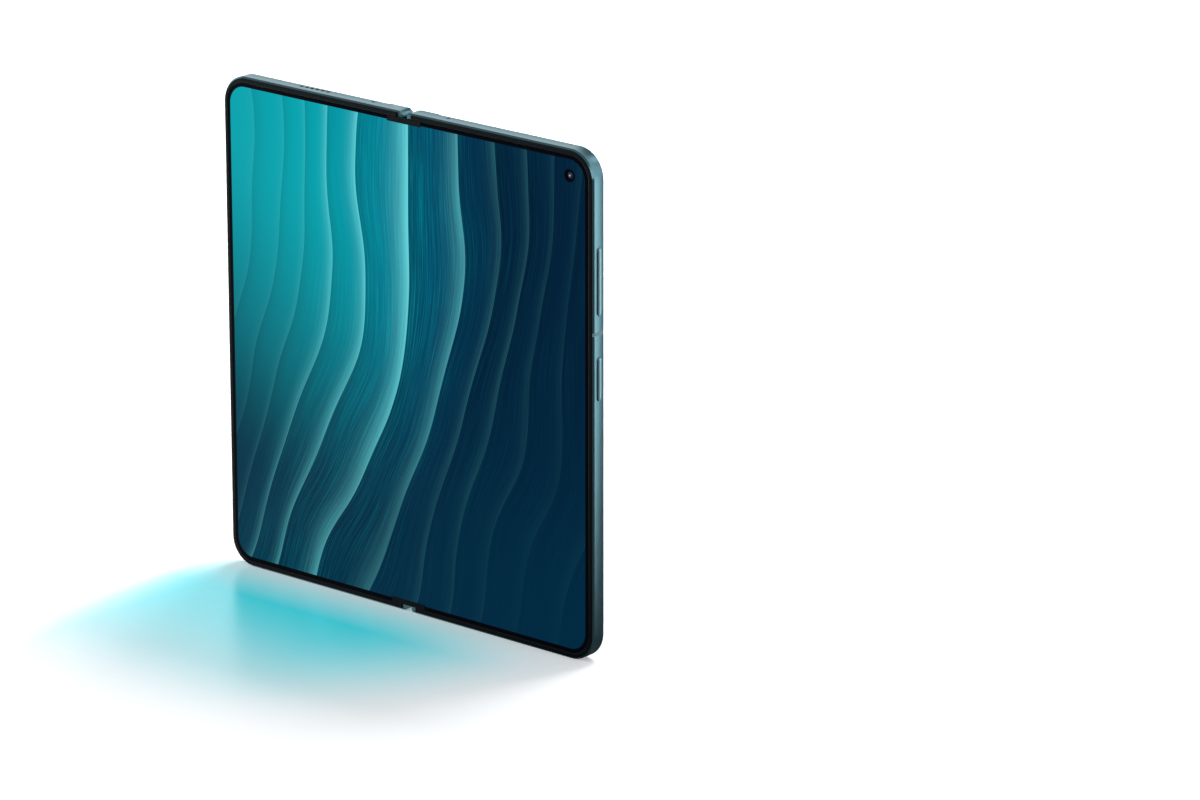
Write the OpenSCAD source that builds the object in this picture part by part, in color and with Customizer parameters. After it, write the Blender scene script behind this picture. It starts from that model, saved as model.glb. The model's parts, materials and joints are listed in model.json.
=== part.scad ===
// Foldable smartphone: two framed halves that close like a book on a geared two-axis hinge.
// It stands open on its bottom edge: X across, Z up, and the inner screen faces -Y.

/* [Body] */
// Width of the open phone, across both halves
body_w = 143.2; // [136:0.1:160]
// Height of the phone
body_h = 153; // [146:0.1:170]
// Thickness of one half, without the camera island
body_t = 5.2; // [5.1:0.05:6]
// Radius of the four outer corners of the open phone
corner_r = 8.6; // [7:0.1:10]
// Radius of the corners where the halves meet
seam_corner_r = 2; // [1:0.1:3]
// Thickness of the frame's outer wall
wall_t = 1.9; // [1.7:0.05:2.3]
// Width of the bevel along the frame's edges
edge_bevel = 0.45; // [0.3:0.05:0.6]
// How far the back panel stands out of the frame
metal_drop = 0.12; // [0.05:0.01:0.2]

/* [Back] */
// Thickness of the wall that covers the spine when open
rear_wall = 0.78; // [0.72:0.02:0.9]
// Thickness of the back panel and of the cover screen with its glass
glass_t = 0.5; // [0.42:0.02:0.56]
// Width of the metal edge around the back panel
glass_edge = 0.8; // [0.6:0.05:1.2]
// Corner radius of the back panel beside the fold
glass_r = 8.2; // [6:0.1:9]
// Thickness of the cover screen's panel, behind its glass
cover_panel_t = 0.2; // [0.15:0.01:0.25]
// Width of the camera island
island_w = 25; // [22:0.5:28]
// Height of the camera island
island_h = 54; // [50:0.5:60]
// How far the camera island stands out of the back
island_t = 1.5; // [1:0.1:2]
// Distance from the island to the phone's edges
island_edge = 7; // [6:0.5:10]
// Radius of a lens ring
lens_r = 6.6; // [5.5:0.1:7]
// Distance from lens to lens
lens_pitch = 16.4; // [15:0.1:17]
// How far a lens ring stands out of the island
lens_lift = 0.4; // [0.2:0.05:0.6]

/* [Screen] */
// Width of the raised black rim around the inner screen
rim_w = 1.42; // [1.2:0.01:1.6]
// Depth of the rim
rim_t = 0.5; // [0.4:0.05:0.6]
// How far the rim stands out of the frame
rim_lift = 0.2; // [0.15:0.01:0.25]
// How far the screen lies below the rim
screen_drop = 0.2; // [0.18:0.01:0.25]
// Thickness of the rigid screen panels
panel_t = 0.6; // [0.5:0.05:0.7]
// Width of the part of the screen that bends
flex_w = 13; // [12.4:0.1:15]
// Thickness of the part of the screen that bends
flex_t = 0.35; // [0.3:0.01:0.4]
// Width of the elastic strip over each end of the bending part
strip_w = 1.55; // [1.2:0.05:2]
// Thickness of the elastic strips
strip_t = 0.15; // [0.1:0.01:0.17]
// Radius of the inner camera's hole
inner_cam_r = 1.9; // [1.6:0.05:2.2]
// Distance of the inner camera from the right edge
inner_cam_x = 8.9; // [8:0.1:11]
// Distance of the inner camera from the top edge
inner_cam_z = 7.9; // [7.6:0.1:11]
// Radius of the cover camera's hole
cover_cam_r = 1.95; // [1.6:0.05:2.2]
// Distance of the cover camera from the top edge
cover_cam_z = 7.4; // [7.2:0.1:10]

/* [Fold] */
// Gap between the rims of the closed halves
fold_gap = 0.3; // [0.2:0.05:0.4]
// Gap between the frames at the fold when open
seam_gap = 1; // [0.6:0.1:1.4]
// Clearance between the spine and the rear walls that sweep over it
spine_clear = 0.12; // [0.1:0.01:0.15]
// Wall of the spine cover
spine_shell = 0.4; // [0.35:0.01:0.42]
// Gap between each end of the spine and the frame's end wall
spine_end_gap = 0.5; // [0.4:0.05:0.8]
// Radius of the hinge shafts
shaft_r = 0.35; // [0.3:0.01:0.38]
// Radial clearance of the shafts in their bores
run_fit = 0.03; // [0.02:0.005:0.05]
// Teeth on each of the four gears in a row
gear_teeth = 10; // [8:2:12]
// Face width of the gears
gear_w = 2.2; // [1.8:0.1:2.6]
// Thickness of each upright of a hinge carrier
upright_t = 1.5; // [1.2:0.1:1.8]
// Length of the barrel of a hinge arm
arm_l = 5; // [4:0.1:6]
// Reach of a hinge arm from the fold's centre
arm_reach = 14; // [13:0.1:16]
// Distance from the phone's ends to the first hinge carrier
hinge_end = 12; // [10:0.5:20]
// Friction washers on each shaft
washers = 3; // [2:1:4]
// Thickness of a friction washer
washer_t = 0.25; // [0.2:0.01:0.3]

/* [Keys and slots] */
// Length of the volume key
volume_l = 20; // [16:0.1:22]
// Distance from the top edge to the volume key's middle
volume_z = 38; // [36:0.1:42]
// Length of the power key
power_l = 13; // [10:0.1:14]
// Distance from the top edge to the power key's middle
power_z = 67; // [65:0.1:75]
// Width of the keys
key_w = 1.8; // [1.5:0.1:2]
// How far the keys stand out of the frame
key_lift = 0.3; // [0.2:0.05:0.5]
// Travel of the keys
key_travel = 0.25; // [0.15:0.01:0.3]
// Gap around the keys and the card tray
key_gap = 0.08; // [0.05:0.01:0.12]
// Height of the card tray's opening
tray_h = 10.5; // [9:0.1:12]
// Length of the card tray
tray_l = 15; // [13:0.1:18]
// Thickness of the card tray
tray_t = 1.3; // [1.2:0.05:1.4]
// Radius of the card tray's eject pin hole
pin_hole_r = 0.45; // [0.4:0.01:0.5]
// Width of the charging port's shell
port_w = 9; // [8.9:0.01:9.1]
// Height of the charging port's shell
port_h = 3.2; // [3.1:0.01:3.3]
// Depth of the charging port
port_l = 7; // [6.5:0.1:8]
// Speaker slots in a row
slots = 6; // [4:1:8]
// Distance from slot to slot
slot_pitch = 2.1; // [1.8:0.05:2.4]
// Length of a speaker slot
slot_l = 1.4; // [1.2:0.05:1.6]
// Width of a speaker slot
slot_w = 1.2; // [0.9:0.05:1.3]
// Distance from the fold to the middle of the top speaker's slots
top_slots_x = 37.5; // [30:0.1:42]
// Distance from the fold to the microphone holes
mic_x = 14.5; // [12:0.1:18]
// Radius of a microphone hole
mic_r = 0.55; // [0.4:0.01:0.6]
// Depth of the slots and microphone holes behind the rims
holes_y = 3.2; // [2.6:0.05:3.3]
// Width of the antenna inlays
inlay_w = 1; // [0.8:0.1:1.4]

/* [Inside] */
// Thickness of the plate that stiffens each half
plate_t = 0.45; // [0.4:0.05:0.55]
// Height of the compartment at the bottom of the right half
low_bay = 21; // [20:0.5:26]
// Space kept free beside the batteries for the keys and magnets
side_bay = 3.6; // [3.4:0.1:5]
// Thickness of the batteries
battery_t = 2.9; // [2.4:0.1:3.1]
// Thickness of the circuit boards
board_t = 0.6; // [0.5:0.05:0.7]
// Height of the shield cans over the circuit boards
can_t = 1.2; // [1:0.05:1.4]
// Clearance between pieces that are slipped into place
fit = 0.05; // [0.03:0.01:0.1]
// Radius of the screws
screw_r = 0.45; // [0.4:0.01:0.5]
// Radius of the screw heads
screw_head_r = 0.85; // [0.75:0.05:0.95]
// Thickness of the screw heads
screw_head_t = 0.25; // [0.2:0.01:0.3]

/* [Hidden] */
$fn = 64;
far = 200;                                        // longer than any cut needs
over = 1;                                         // how far a cut or a joined piece reaches past a face

half_w = body_w / 2;
front_y = -(body_t + island_t + lens_lift) / 2;   // plane of the rims
seam_x = seam_gap / 2;                            // end of each frame at the fold

// The spine's flat face ends level with the closed frames, and clears the rear walls when open.
spine_face = body_t - rear_wall - spine_clear;
axis_x = (spine_face + fold_gap / 2 + seam_x) / 2;
axis_y = axis_x - fold_gap / 2;
spine_r = spine_face - axis_y;
spine_lip = 0.2;                                  // how far the cover reaches forward of the axes
spine_z = wall_t + spine_end_gap;
relief_gap = 0.1;                                 // from the frames' rounded ends to the middle plane
bore_r = spine_r - spine_shell;                   // inside of the spine cover

// Layers, counted from the plane of the rims
panel_back = screen_drop + panel_t;
plate_back = panel_back + plate_t;
pocket_y = body_t - glass_t;                      // seat of the back panel
web_y = body_t - rear_wall;                       // inside of the wall over the spine

// Plan of a half
bay_room = 0.75;                                  // beside the spine when closed
bay_x = axis_x + spine_r + bay_room;              // the hinge's space ends here
bulkhead_t = 0.8;
bay_end = bay_x + bulkhead_t;
inner_x = half_w - wall_t;
panel_inset = wall_t + fit;
glass_x0 = seam_x + glass_edge;
glass_x1 = half_w - glass_edge;

// One hinge module along Z: upright, gears, upright, arm barrel, washers, upright
end_play = 0.15;
gear_z = upright_t + end_play;
arm_z = 2 * upright_t + gear_w + 3 * end_play;
washer_gap = 0.08;
washer_pitch = washer_t + washer_gap;
washer_z = arm_z + arm_l + end_play;
last_z = washer_z + washers * washer_pitch + end_play;
module_l = last_z + upright_t;
hinge_z = [hinge_end, (body_h - module_l) / 2, body_h - hinge_end - module_l];
barrel_r = 1;
barrel_waist = 0.6;                               // width of an arm at its barrel, as a share of the barrel's
arm_y = panel_back + fit;
carrier_gap = [0.05, 0.12];                       // round the barrels, in front and behind
carrier_front = axis_y - barrel_r - carrier_gap[0];
carrier_floor = axis_y + barrel_r + carrier_gap[1];
rim_gap = 0.3;                                    // from the hinge axes to the rims' ends
rim_start = axis_x + rim_gap;
spine_end_t = 0.8;

// Gears on the shafts and the two idlers between them share one pitch radius.
pitch_r = axis_x / 3;
gear_m = 2 * pitch_r / gear_teeth;
tooth_tip = 0.7;                                  // beyond the pitch circle, in modules
tooth_root = 1.15;                                // within the pitch circle, in modules
gear_tip = pitch_r + tooth_tip * gear_m;
gear_root = pitch_r - tooth_root * gear_m;
tooth_share = 0.4;                                // of the pitch that a tooth takes up
tooth_half = PI * gear_m * tooth_share / 2;
tooth_slope = tan(24);
root_sink = 0.9;                                  // the teeth start inside the gear's body
half_tooth = 180 / gear_teeth;
idler_x = pitch_r;

// Keys
key_y = body_t / 2;
key_foot = 0.4;
foot_grow = [1.4, 0.5];                           // the foot is this much longer and wider than the key
key_nub = 0.35;
key_nub_r = 0.5;
switch_r = 0.9;
switch_t = 0.2;
key_flex_t = 0.3;
volume_at = body_h - volume_z;
power_at = body_h - power_z;

// Screws
post_r = 1.5;
post_l = 2.6;
post_sink = 0.35;                                 // the posts run into the wall
post_z = wall_t + post_r - post_sink;
post_inset = [4, 16];                             // from the arms' ends and from the outer face
post_x = [arm_reach + post_inset[0], half_w - post_inset[1]];
screw_l = 1.8;
arm_screw_inset = 2.6;
arm_screw_x = arm_reach - arm_screw_inset;
pad_edge = 1;                                     // the pads are this much larger than the arms

// Camera island
island_flat = 4;                                  // straight part of the island's short sides
island_r = (island_w - island_flat) / 2;
island_x = half_w - island_edge - island_w / 2;
island_z = body_h - island_edge - island_h / 2;
lens_at = [for (i = [-1 : 1]) island_z + i * lens_pitch];
lens_shift = 3.2;                                 // the lenses stand off the island's middle line
lens_x = island_x - lens_shift;
ring_w = 1.6;
lens_hole = lens_r - ring_w;
camera_w = [11, 12, 9.4];                     // the three camera bodies, from the lowest up
barrel_step = [1, 0.6, 1.6];                      // how much smaller their barrels are than the lens holes
lens_ring_t = 0.9;
ring_rise = 0.1;                                  // of the rings over their glasses
lens_top = body_t + island_t + lens_lift - ring_rise;
lens_glass_t = 0.5;
flash_r = 1.6;
flash_inset = 3.4;
flash_depth = 1.2;                                // behind the back panel's seat
flash_x = island_x + island_w / 2 - flash_inset;
flash_z = island_z + lens_pitch / 2;

// Places of the inner pieces
piece_gap = 1;                                    // between neighbouring inner pieces
low_top = wall_t + low_bay;
high_bottom = lens_at[0] - camera_w[0] / 2 - piece_gap;   // the boards start below the lowest camera
low_clear = post_z + post_r + fit;                 // above and below the screws' posts
high_clear = body_h - low_clear;
side_x = inner_x - side_bay;
port_x = (bay_end + inner_x) / 2;
port_y = plate_back + port_h / 2;
arm_room = arm_reach + pad_edge - bay_end + fit;  // the arms' pads reach this far past the bulkhead
part_inset = 2.5;                                 // from the arms' ends to the shields and the motor
part_x = arm_reach + part_inset;
port_shell = 0.33;
port_set = 0.3;                                   // the port's shell starts inside the wall
port_floor = 0.5;
tongue = [6.6, 0.7];
tongue_set = 1;
speaker_gap = 4;
speaker_x = [port_x + port_w / 2 + speaker_gap, side_x - piece_gap];
speaker_slots_x = (speaker_x[0] + speaker_x[1]) / 2;
back_room = [0.4, 0.6];                           // behind the speakers and behind the motor
motor_l = 8;
motor_gap = 3;
top_speaker_inset = 5;
top_speaker_x = arm_reach + top_speaker_inset;
top_speaker_l = 10;
magnet_w = 2.4;
magnet_t = 2;
magnet_rise = 12;
magnet_l = 22;
magnet_z = [low_top + magnet_rise, low_top + magnet_rise + magnet_l];
can = [17, 18];                                   // a shield can over the main board
can_rise = 1.5;
can_z = high_bottom + can_rise;
can_pitch = 20;
sub_can = [24, 20];                               // the shield can over the sub board
sub_can_rise = 2;
sub_can_z = high_bottom + sub_can_rise;
switch_x = inner_x - key_foot - key_nub - key_travel - fit;
tray_rise = 1.15;
tray_y = plate_back + board_t + tray_rise;
tray_lift = 7.5;
tray_z = high_bottom + tray_lift;
tray_x = inner_x - tray_l;                        // inner end of the tray
reader_wall = [0.6, 0.3];                         // outside and inside the reader's shell, from the tray
reader_top = 0.4;
reader_out = 1.2;
card = [8.8, 12.3];                               // one SIM card, across and along the tray
card_set = 0.8;
card_floor = 0.3;
pin_inset = 1.6;
cover_cam_x = (glass_x0 + glass_x1) / 2;
inlay_d = 0.5;
inlay_drop = 53.4;                                // from the top to the right half's side inlay
right_inlay_z = body_h - inlay_drop;
inlay_rise = 6;                                   // from the low pieces to the left half's
left_inlay_z = low_top + inlay_rise;
inlay_inset = 12.5;                               // from the outer face to the end inlays
end_inlay_x = half_w - inlay_inset;
small_cam = [5.6, 2.4];                           // side and depth of a small camera's body
cable_rise = 8;                                   // over the middle hinge module
cable_z = hinge_z[1] + module_l + cable_rise;
cable_w = 12;
cable_t = 0.15;
cable_land = 2;                                   // the cable ends this far past the bulkheads

// Shared shapes

// Depths are counted from the rims' plane, and the left half is drawn as the right one's mirror.
module right_side() translate([0, front_y, 0]) children();
module left_side() translate([0, front_y, 0]) mirror([1, 0, 0]) children();

module both_ends() {
    children();
    translate([0, 0, body_h]) mirror([0, 0, 1]) children();
}

module block(x0, y0, z0, x1, y1, z1) translate([x0, y0, z0]) cube([x1 - x0, y1 - y0, z1 - z0]);

// A plan shape given its depth
module slab(y0, y1) translate([0, y1, 0]) rotate([90, 0, 0]) linear_extrude(y1 - y0) children();

// A round bar along the depth
module rod(x, z, r, y0, y1) translate([x, y1, z]) rotate([90, 0, 0]) cylinder(r = r, h = y1 - y0);

// A rectangle with one radius for its corners at the fold and one for its outer corners
module plan(x0, z0, x1, z1, r_fold, r_outer) {
    translate([x0 + r_fold, z0]) square([x1 - x0 - r_fold - r_outer, z1 - z0]);
    for (side = [[x0, r_fold, 1], [x1, r_outer, -1]]) if (side[1] > 0) {
        r = side[1];
        translate([min(side[0], side[0] + side[2] * r), z0 + r]) square([r, z1 - z0 - 2 * r]);
        for (z = [z0 + r, z1 - r]) translate([side[0] + side[2] * r, z]) circle(r);
    }
}

// A slot with round ends, centred, along X
module slot2d(l, w) {
    square([l - w, w], center = true);
    for (s = [-1, 1]) translate([s * (l - w) / 2, 0]) circle(w / 2);
}

// Carries a wall's section round a half: along the bottom, round the corner and up the side.
// The section's X is counted inwards from the outer face.
module around(x_start) {
    both_ends() {
        translate([half_w - corner_r, 0, 0]) rotate([0, -90, 0])
            linear_extrude(half_w - corner_r - x_start) children();
        translate([half_w - corner_r, 0, corner_r]) rotate([-90, 0, 0])
            rotate_extrude(angle = 90) translate([corner_r, 0]) mirror([1, 0]) children();
    }
    translate([half_w, 0, corner_r]) linear_extrude(body_h - 2 * corner_r)
        mirror([1, 0]) children();
}

module wall_section() {
    polygon([
        [edge_bevel, rim_lift], [0, rim_lift + edge_bevel],
        [0, body_t - metal_drop - edge_bevel], [edge_bevel, body_t - metal_drop],
        [wall_t, body_t - metal_drop], [wall_t, rim_t], [edge_bevel, rim_t]
    ]);
}

// Frames

// What the turning frames would sweep beyond the middle plane
module fold_relief() {
    translate([0, 0, -over]) linear_extrude(body_h + 2 * over) difference() {
        translate([-over, -over]) square([axis_x + over, axis_y + over]);
        translate([axis_x, axis_y]) circle(axis_x - relief_gap);
    }
}

module seam_rounding() {
    both_ends() slab(-over, body_t + over) difference() {
        translate([seam_x - over, -over]) square(seam_corner_r + over);
        translate([seam_x + seam_corner_r, seam_corner_r]) circle(seam_corner_r);
    }
}

module arm_zones(x0, x1, y0, y1, grow) {
    for (z = hinge_z) block(x0, y0, z + arm_z - grow, x1, y1, z + arm_z + arm_l + grow);
}

module frame_body() {
    difference() {
        union() {
            around(seam_x) wall_section();
            // wall over the spine, with the metal corners beside the back panel
            slab(web_y, body_t - metal_drop) plan(seam_x, 0, bay_end, body_h, 0, 0);
            both_ends() slab(web_y, body_t - metal_drop)
                translate([seam_x, 0]) square([glass_edge + glass_r, wall_t + glass_r]);
            // bulkhead behind the hinge's space, and the pads that carry the arms
            block(bay_x, plate_back, spine_z, bay_end, web_y, body_h - spine_z);
            arm_zones(bay_end - fit, arm_reach + pad_edge, plate_back, plate_back + screw_l, pad_edge);
            both_ends() for (x = post_x) rod(x, post_z, post_r, plate_back, plate_back + post_l);
        }
        slab(pocket_y, body_t + over) plan(glass_x0, glass_edge, glass_x1, body_h - glass_edge,
                                           glass_r, corner_r - glass_edge);
        fold_relief();
        seam_rounding();
        both_ends() for (x = post_x) rod(x, post_z, screw_r + run_fit, plate_back - over, plate_back + screw_l);
        for (z = hinge_z) rod(arm_screw_x, z + arm_z + arm_l / 2, screw_r + run_fit,
                              plate_back - over, plate_back + screw_l + over);
        // passage for the cable that crosses the fold
        block(bay_x - over, plate_back - over, cable_z - fit, bay_end + over, plate_back + cable_t,
              cable_z + cable_w + fit);
    }
}

// A row of speaker slots through the top or bottom wall
module slot_row(x, z) {
    for (i = [0 : slots - 1])
        translate([x + (i - (slots - 1) / 2) * slot_pitch, holes_y, z - wall_t - over])
            linear_extrude(2 * (wall_t + over)) slot2d(slot_l, slot_w);
}

module end_hole(x, r, z) translate([x, holes_y, z - wall_t - over]) cylinder(r = r, h = 2 * (wall_t + over));

module key_hole(at, l) {
    translate([inner_x - over, key_y, at]) rotate([0, 90, 0])
        linear_extrude(wall_t + 2 * over) slot2d(l + 2 * key_gap, key_w + 2 * key_gap);
}

module inlay_zones(side_z, end_x) {
    block(inner_x, -over, side_z - inlay_w / 2, half_w + over, body_t + over, side_z + inlay_w / 2);
    block(end_x - inlay_w / 2, -over, -over, end_x + inlay_w / 2, body_t + over, wall_t);
}

module inlays(side_z) {
    intersection() {
        around(seam_x) difference() {
            wall_section();
            translate([inlay_d, -over]) square([far, body_t + 2 * over]);
        }
        inlay_zones(side_z, end_inlay_x);
    }
}

module inlay_cut(side_z) {
    intersection() {
        around(seam_x) translate([-over, -over]) square([inlay_d + over, body_t + 2 * over]);
        inlay_zones(side_z, end_inlay_x);
    }
}

module right_frame() color([0.44, 0.64, 0.67]) right_side() difference() {
    frame_body();
    key_hole(volume_at, volume_l);
    key_hole(power_at, power_l);
    translate([port_x, port_y, -over]) linear_extrude(wall_t + 2 * over)
        slot2d(port_w + 2 * fit, port_h + 2 * fit);
    slot_row(speaker_slots_x, 0);
    end_hole(mic_x, mic_r, body_h);
    end_hole(port_x + port_w, mic_r, 0);
    inlay_cut(right_inlay_z);
}

module left_frame() color([0.44, 0.64, 0.67]) left_side() difference() {
    frame_body();
    translate([inner_x - over, tray_y, tray_z]) rotate([0, 90, 0])
        linear_extrude(wall_t + 2 * over) slot2d(tray_h + 2 * key_gap, tray_t + 2 * key_gap);
    slot_row(top_slots_x, body_h);
    end_hole(mic_x, mic_r, body_h);
    end_hole(port_x, mic_r, 0);
    inlay_cut(left_inlay_z);
}

module right_antenna_inlays() color([0.3, 0.48, 0.52]) right_side() inlays(right_inlay_z);
module left_antenna_inlays() color([0.3, 0.48, 0.52]) left_side() inlays(left_inlay_z);

// Stiffening plates

module mid_plate() {
    difference() {
        slab(panel_back, plate_back)
            plan(bay_x, wall_t + fit, inner_x - fit, body_h - wall_t - fit, 0, corner_r - wall_t - fit);
        arm_zones(bay_x - over, arm_reach + fit, panel_back - over, plate_back + over, 2 * fit);
        both_ends() for (x = post_x) {
            rod(x, post_z, screw_r + run_fit, panel_back - over, plate_back + over);
            rod(x, post_z, screw_head_r + fit, panel_back - over, panel_back + screw_head_t + fit);
        }
        block(bay_x - over, panel_back - over, cable_z - fit, bay_end + cable_land + fit, plate_back + over,
              cable_z + cable_w + fit);
    }
}

module right_mid_plate() color([0.55, 0.57, 0.6]) right_side() difference() {
    mid_plate();
    rod(half_w - inner_cam_x, body_h - inner_cam_z, inner_cam_r + fit,
        panel_back - over, plate_back + over);
}

module left_mid_plate() color([0.55, 0.57, 0.6]) left_side() mid_plate();

module plate_screws() {
    both_ends() for (x = post_x) {
        rod(x, post_z, screw_head_r, panel_back + fit, panel_back + fit + screw_head_t);
        rod(x, post_z, screw_r, panel_back + fit, plate_back + screw_l - fit);
    }
}

module right_screws() color("silver") right_side() plate_screws();
module left_screws() color("silver") left_side() plate_screws();

// Inner screen

module screen_panel() slab(screen_drop, panel_back)
    plan(flex_w / 2, panel_inset, half_w - panel_inset, body_h - panel_inset, 0, corner_r - panel_inset);

module right_screen_panel() color([0.02, 0.2, 0.3]) right_side() difference() {
    screen_panel();
    rod(half_w - inner_cam_x, body_h - inner_cam_z, inner_cam_r, -over, panel_back + over);
}

module left_screen_panel() color([0, 0.6, 0.65]) left_side() screen_panel();

module flexible_screen() color([0, 0.45, 0.55]) right_side()
    block(-flex_w / 2, screen_drop, panel_inset, flex_w / 2, screen_drop + flex_t, body_h - panel_inset);

module fold_strips() color([0.05, 0.05, 0.07]) right_side() both_ends()
    block(-flex_w / 2, screen_drop - strip_t, panel_inset, flex_w / 2, screen_drop, panel_inset + strip_w);

module rim() {
    difference() {
        around(rim_start) translate([edge_bevel + run_fit, 0]) square([rim_w, rim_t]);
        fold_relief();
    }
}

module right_rim() color([0.06, 0.07, 0.09]) right_side() rim();
module left_rim() color([0.06, 0.07, 0.09]) left_side() rim();

module inner_camera() color([0.05, 0.05, 0.08]) right_side() {
    x = half_w - inner_cam_x;
    z = body_h - inner_cam_z;
    rod(x, z, inner_cam_r - fit, screen_drop + fit, plate_back + over);
    block(x - small_cam[0] / 2, plate_back, z - small_cam[0] / 2,
          x + small_cam[0] / 2, plate_back + small_cam[1], z + small_cam[0] / 2);
}

// Backs

module back_plan(inset) plan(glass_x0 + inset, glass_edge + inset, glass_x1 - inset, body_h - glass_edge - inset,
                             glass_r - inset, corner_r - glass_edge - inset);

module back_panel() color([0.35, 0.6, 0.63]) right_side() difference() {
    slab(pocket_y, body_t) back_plan(fit);
    for (z = lens_at) rod(lens_x, z, lens_hole + fit, pocket_y - over, body_t + over);
    rod(flash_x, flash_z, flash_r + fit, pocket_y - over, body_t + over);
}

module cover_glass() color([0.02, 0.3, 0.36]) left_side()
    slab(pocket_y + cover_panel_t, body_t) back_plan(fit);

module cover_screen_panel() color([0, 0.5, 0.55]) left_side() difference() {
    slab(pocket_y, pocket_y + cover_panel_t) back_plan(2 * fit);
    rod(cover_cam_x, body_h - cover_cam_z, cover_cam_r, pocket_y - over, body_t + over);
}

module cover_camera() color([0.05, 0.05, 0.08]) left_side() {
    z = body_h - cover_cam_z;
    rod(cover_cam_x, z, cover_cam_r - fit, web_y - over, pocket_y + cover_panel_t - fit);
    block(cover_cam_x - small_cam[0] / 2, plate_back, z - small_cam[0] / 2,
          cover_cam_x + small_cam[0] / 2, web_y, z + small_cam[0] / 2);
}

// Rear cameras

module camera_island() color([0.3, 0.5, 0.54]) right_side() difference() {
    slab(body_t, body_t + island_t)
        plan(island_x - island_w / 2, island_z - island_h / 2, island_x + island_w / 2,
             island_z + island_h / 2, island_r, island_r);
    for (z = lens_at) {
        rod(lens_x, z, lens_hole + fit, body_t - over, body_t + island_t + over);
        rod(lens_x, z, lens_r + fit, body_t + island_t + lens_lift - lens_ring_t, body_t + island_t + over);
    }
    rod(flash_x, flash_z, flash_r + fit, body_t - over, body_t + island_t + over);
}

module lens_rings() color([0.35, 0.4, 0.42]) right_side() for (z = lens_at) difference() {
    rod(lens_x, z, lens_r, body_t + island_t + lens_lift - lens_ring_t, body_t + island_t + lens_lift);
    rod(lens_x, z, lens_hole, body_t, body_t + island_t + over);
}

module lens_glasses() color([0.02, 0.03, 0.06]) right_side()
    for (z = lens_at) rod(lens_x, z, lens_hole - fit, lens_top - lens_glass_t, lens_top);

module rear_camera(i) {
    z = lens_at[i];
    side = camera_w[i];
    rod(lens_x, z, lens_hole - barrel_step[i], plate_back + over, lens_top - lens_glass_t);
    block(lens_x - side / 2, plate_back + board_t, z - side / 2, lens_x + side / 2, pocket_y - fit, z + side / 2);
}

module main_camera() color([0.1, 0.1, 0.12]) right_side() rear_camera(1);
module wide_camera() color([0.1, 0.1, 0.12]) right_side() rear_camera(2);
module tele_camera() color([0.1, 0.1, 0.12]) right_side() rear_camera(0);

module flash_window() color([0.95, 0.93, 0.8]) right_side()
    rod(flash_x, flash_z, flash_r, pocket_y - flash_depth, body_t + island_t - fit);

// Inner pieces of the right half

module battery_of(z0, z1) block(bay_end + arm_room, plate_back, z0, side_x, plate_back + battery_t, z1);

module right_battery() color([0.12, 0.12, 0.14]) right_side() battery_of(low_top + piece_gap, high_bottom - piece_gap);

module main_board() color([0.02, 0.18, 0.14]) right_side() difference() {
    block(bay_end + arm_room, plate_back, high_bottom, side_x, plate_back + board_t, high_clear);
    block(half_w - inner_cam_x - small_cam[0] / 2 - fit, plate_back - over,
          body_h - inner_cam_z - small_cam[0] / 2 - fit,
          far, plate_back + board_t + over, far);
}

module main_board_shields() color("silver") right_side()
    for (i = [0, 1]) translate([part_x, plate_back + board_t, can_z + i * can_pitch])
        cube([can[0], can_t, can[1]]);

module port_board() color([0.02, 0.18, 0.14]) right_side() difference() {
    block(bay_end + arm_room, plate_back, low_clear, side_x, plate_back + board_t, low_top);
    block(port_x - port_w / 2 - fit, plate_back - over, 0, port_x + port_w / 2 + fit, plate_back + board_t + over,
          port_l + fit);
}

module charging_port() color([0.6, 0.62, 0.65]) right_side() difference() {
    translate([port_x, port_y, port_set]) linear_extrude(port_l - port_set) slot2d(port_w, port_h);
    translate([port_x, port_y, 0]) linear_extrude(port_l - port_floor)
        slot2d(port_w - 2 * port_shell, port_h - 2 * port_shell);
}

module port_tongue() color([0.08, 0.08, 0.1]) right_side()
    block(port_x - tongue[0] / 2, port_y - tongue[1] / 2, tongue_set,
          port_x + tongue[0] / 2, port_y + tongue[1] / 2, port_l - port_floor);

module bottom_speaker() color([0.1, 0.1, 0.1]) right_side()
    block(speaker_x[0], plate_back + board_t, low_clear, speaker_x[1], web_y - back_room[0], low_top - piece_gap);

module vibration_motor() color("silver") right_side()
    block(part_x, plate_back + board_t, low_clear + piece_gap, port_x - port_w / 2 - motor_gap,
          web_y - back_room[1], low_clear + piece_gap + motor_l);

module magnet() block(inner_x - magnet_w, plate_back, magnet_z[0], inner_x - fit, plate_back + magnet_t, magnet_z[1]);

module right_magnet() color([0.7, 0.7, 0.72]) right_side() magnet();
module left_magnet() color([0.7, 0.7, 0.72]) left_side() magnet();

// Keys

// The cap slides in the frame's slot, its foot bears on the wall inside, and its nub presses a switch.
module key_at(at, l) {
    translate([inner_x - key_foot, key_y, at]) rotate([0, 90, 0]) {
        linear_extrude(key_foot - fit / 2) slot2d(l + foot_grow[0], key_w + foot_grow[1]);
        linear_extrude(key_foot + wall_t + key_lift) slot2d(l, key_w);
    }
    for (s = [-1, 1]) translate([inner_x - key_foot - key_nub, key_y, at + s * l / 4])
        rotate([0, 90, 0]) cylinder(r = key_nub_r, h = key_nub + fit);
}

module volume_key() color([0.5, 0.7, 0.73]) right_side() key_at(volume_at, volume_l);
module power_key() color([0.5, 0.7, 0.73]) right_side() key_at(power_at, power_l);

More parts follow.
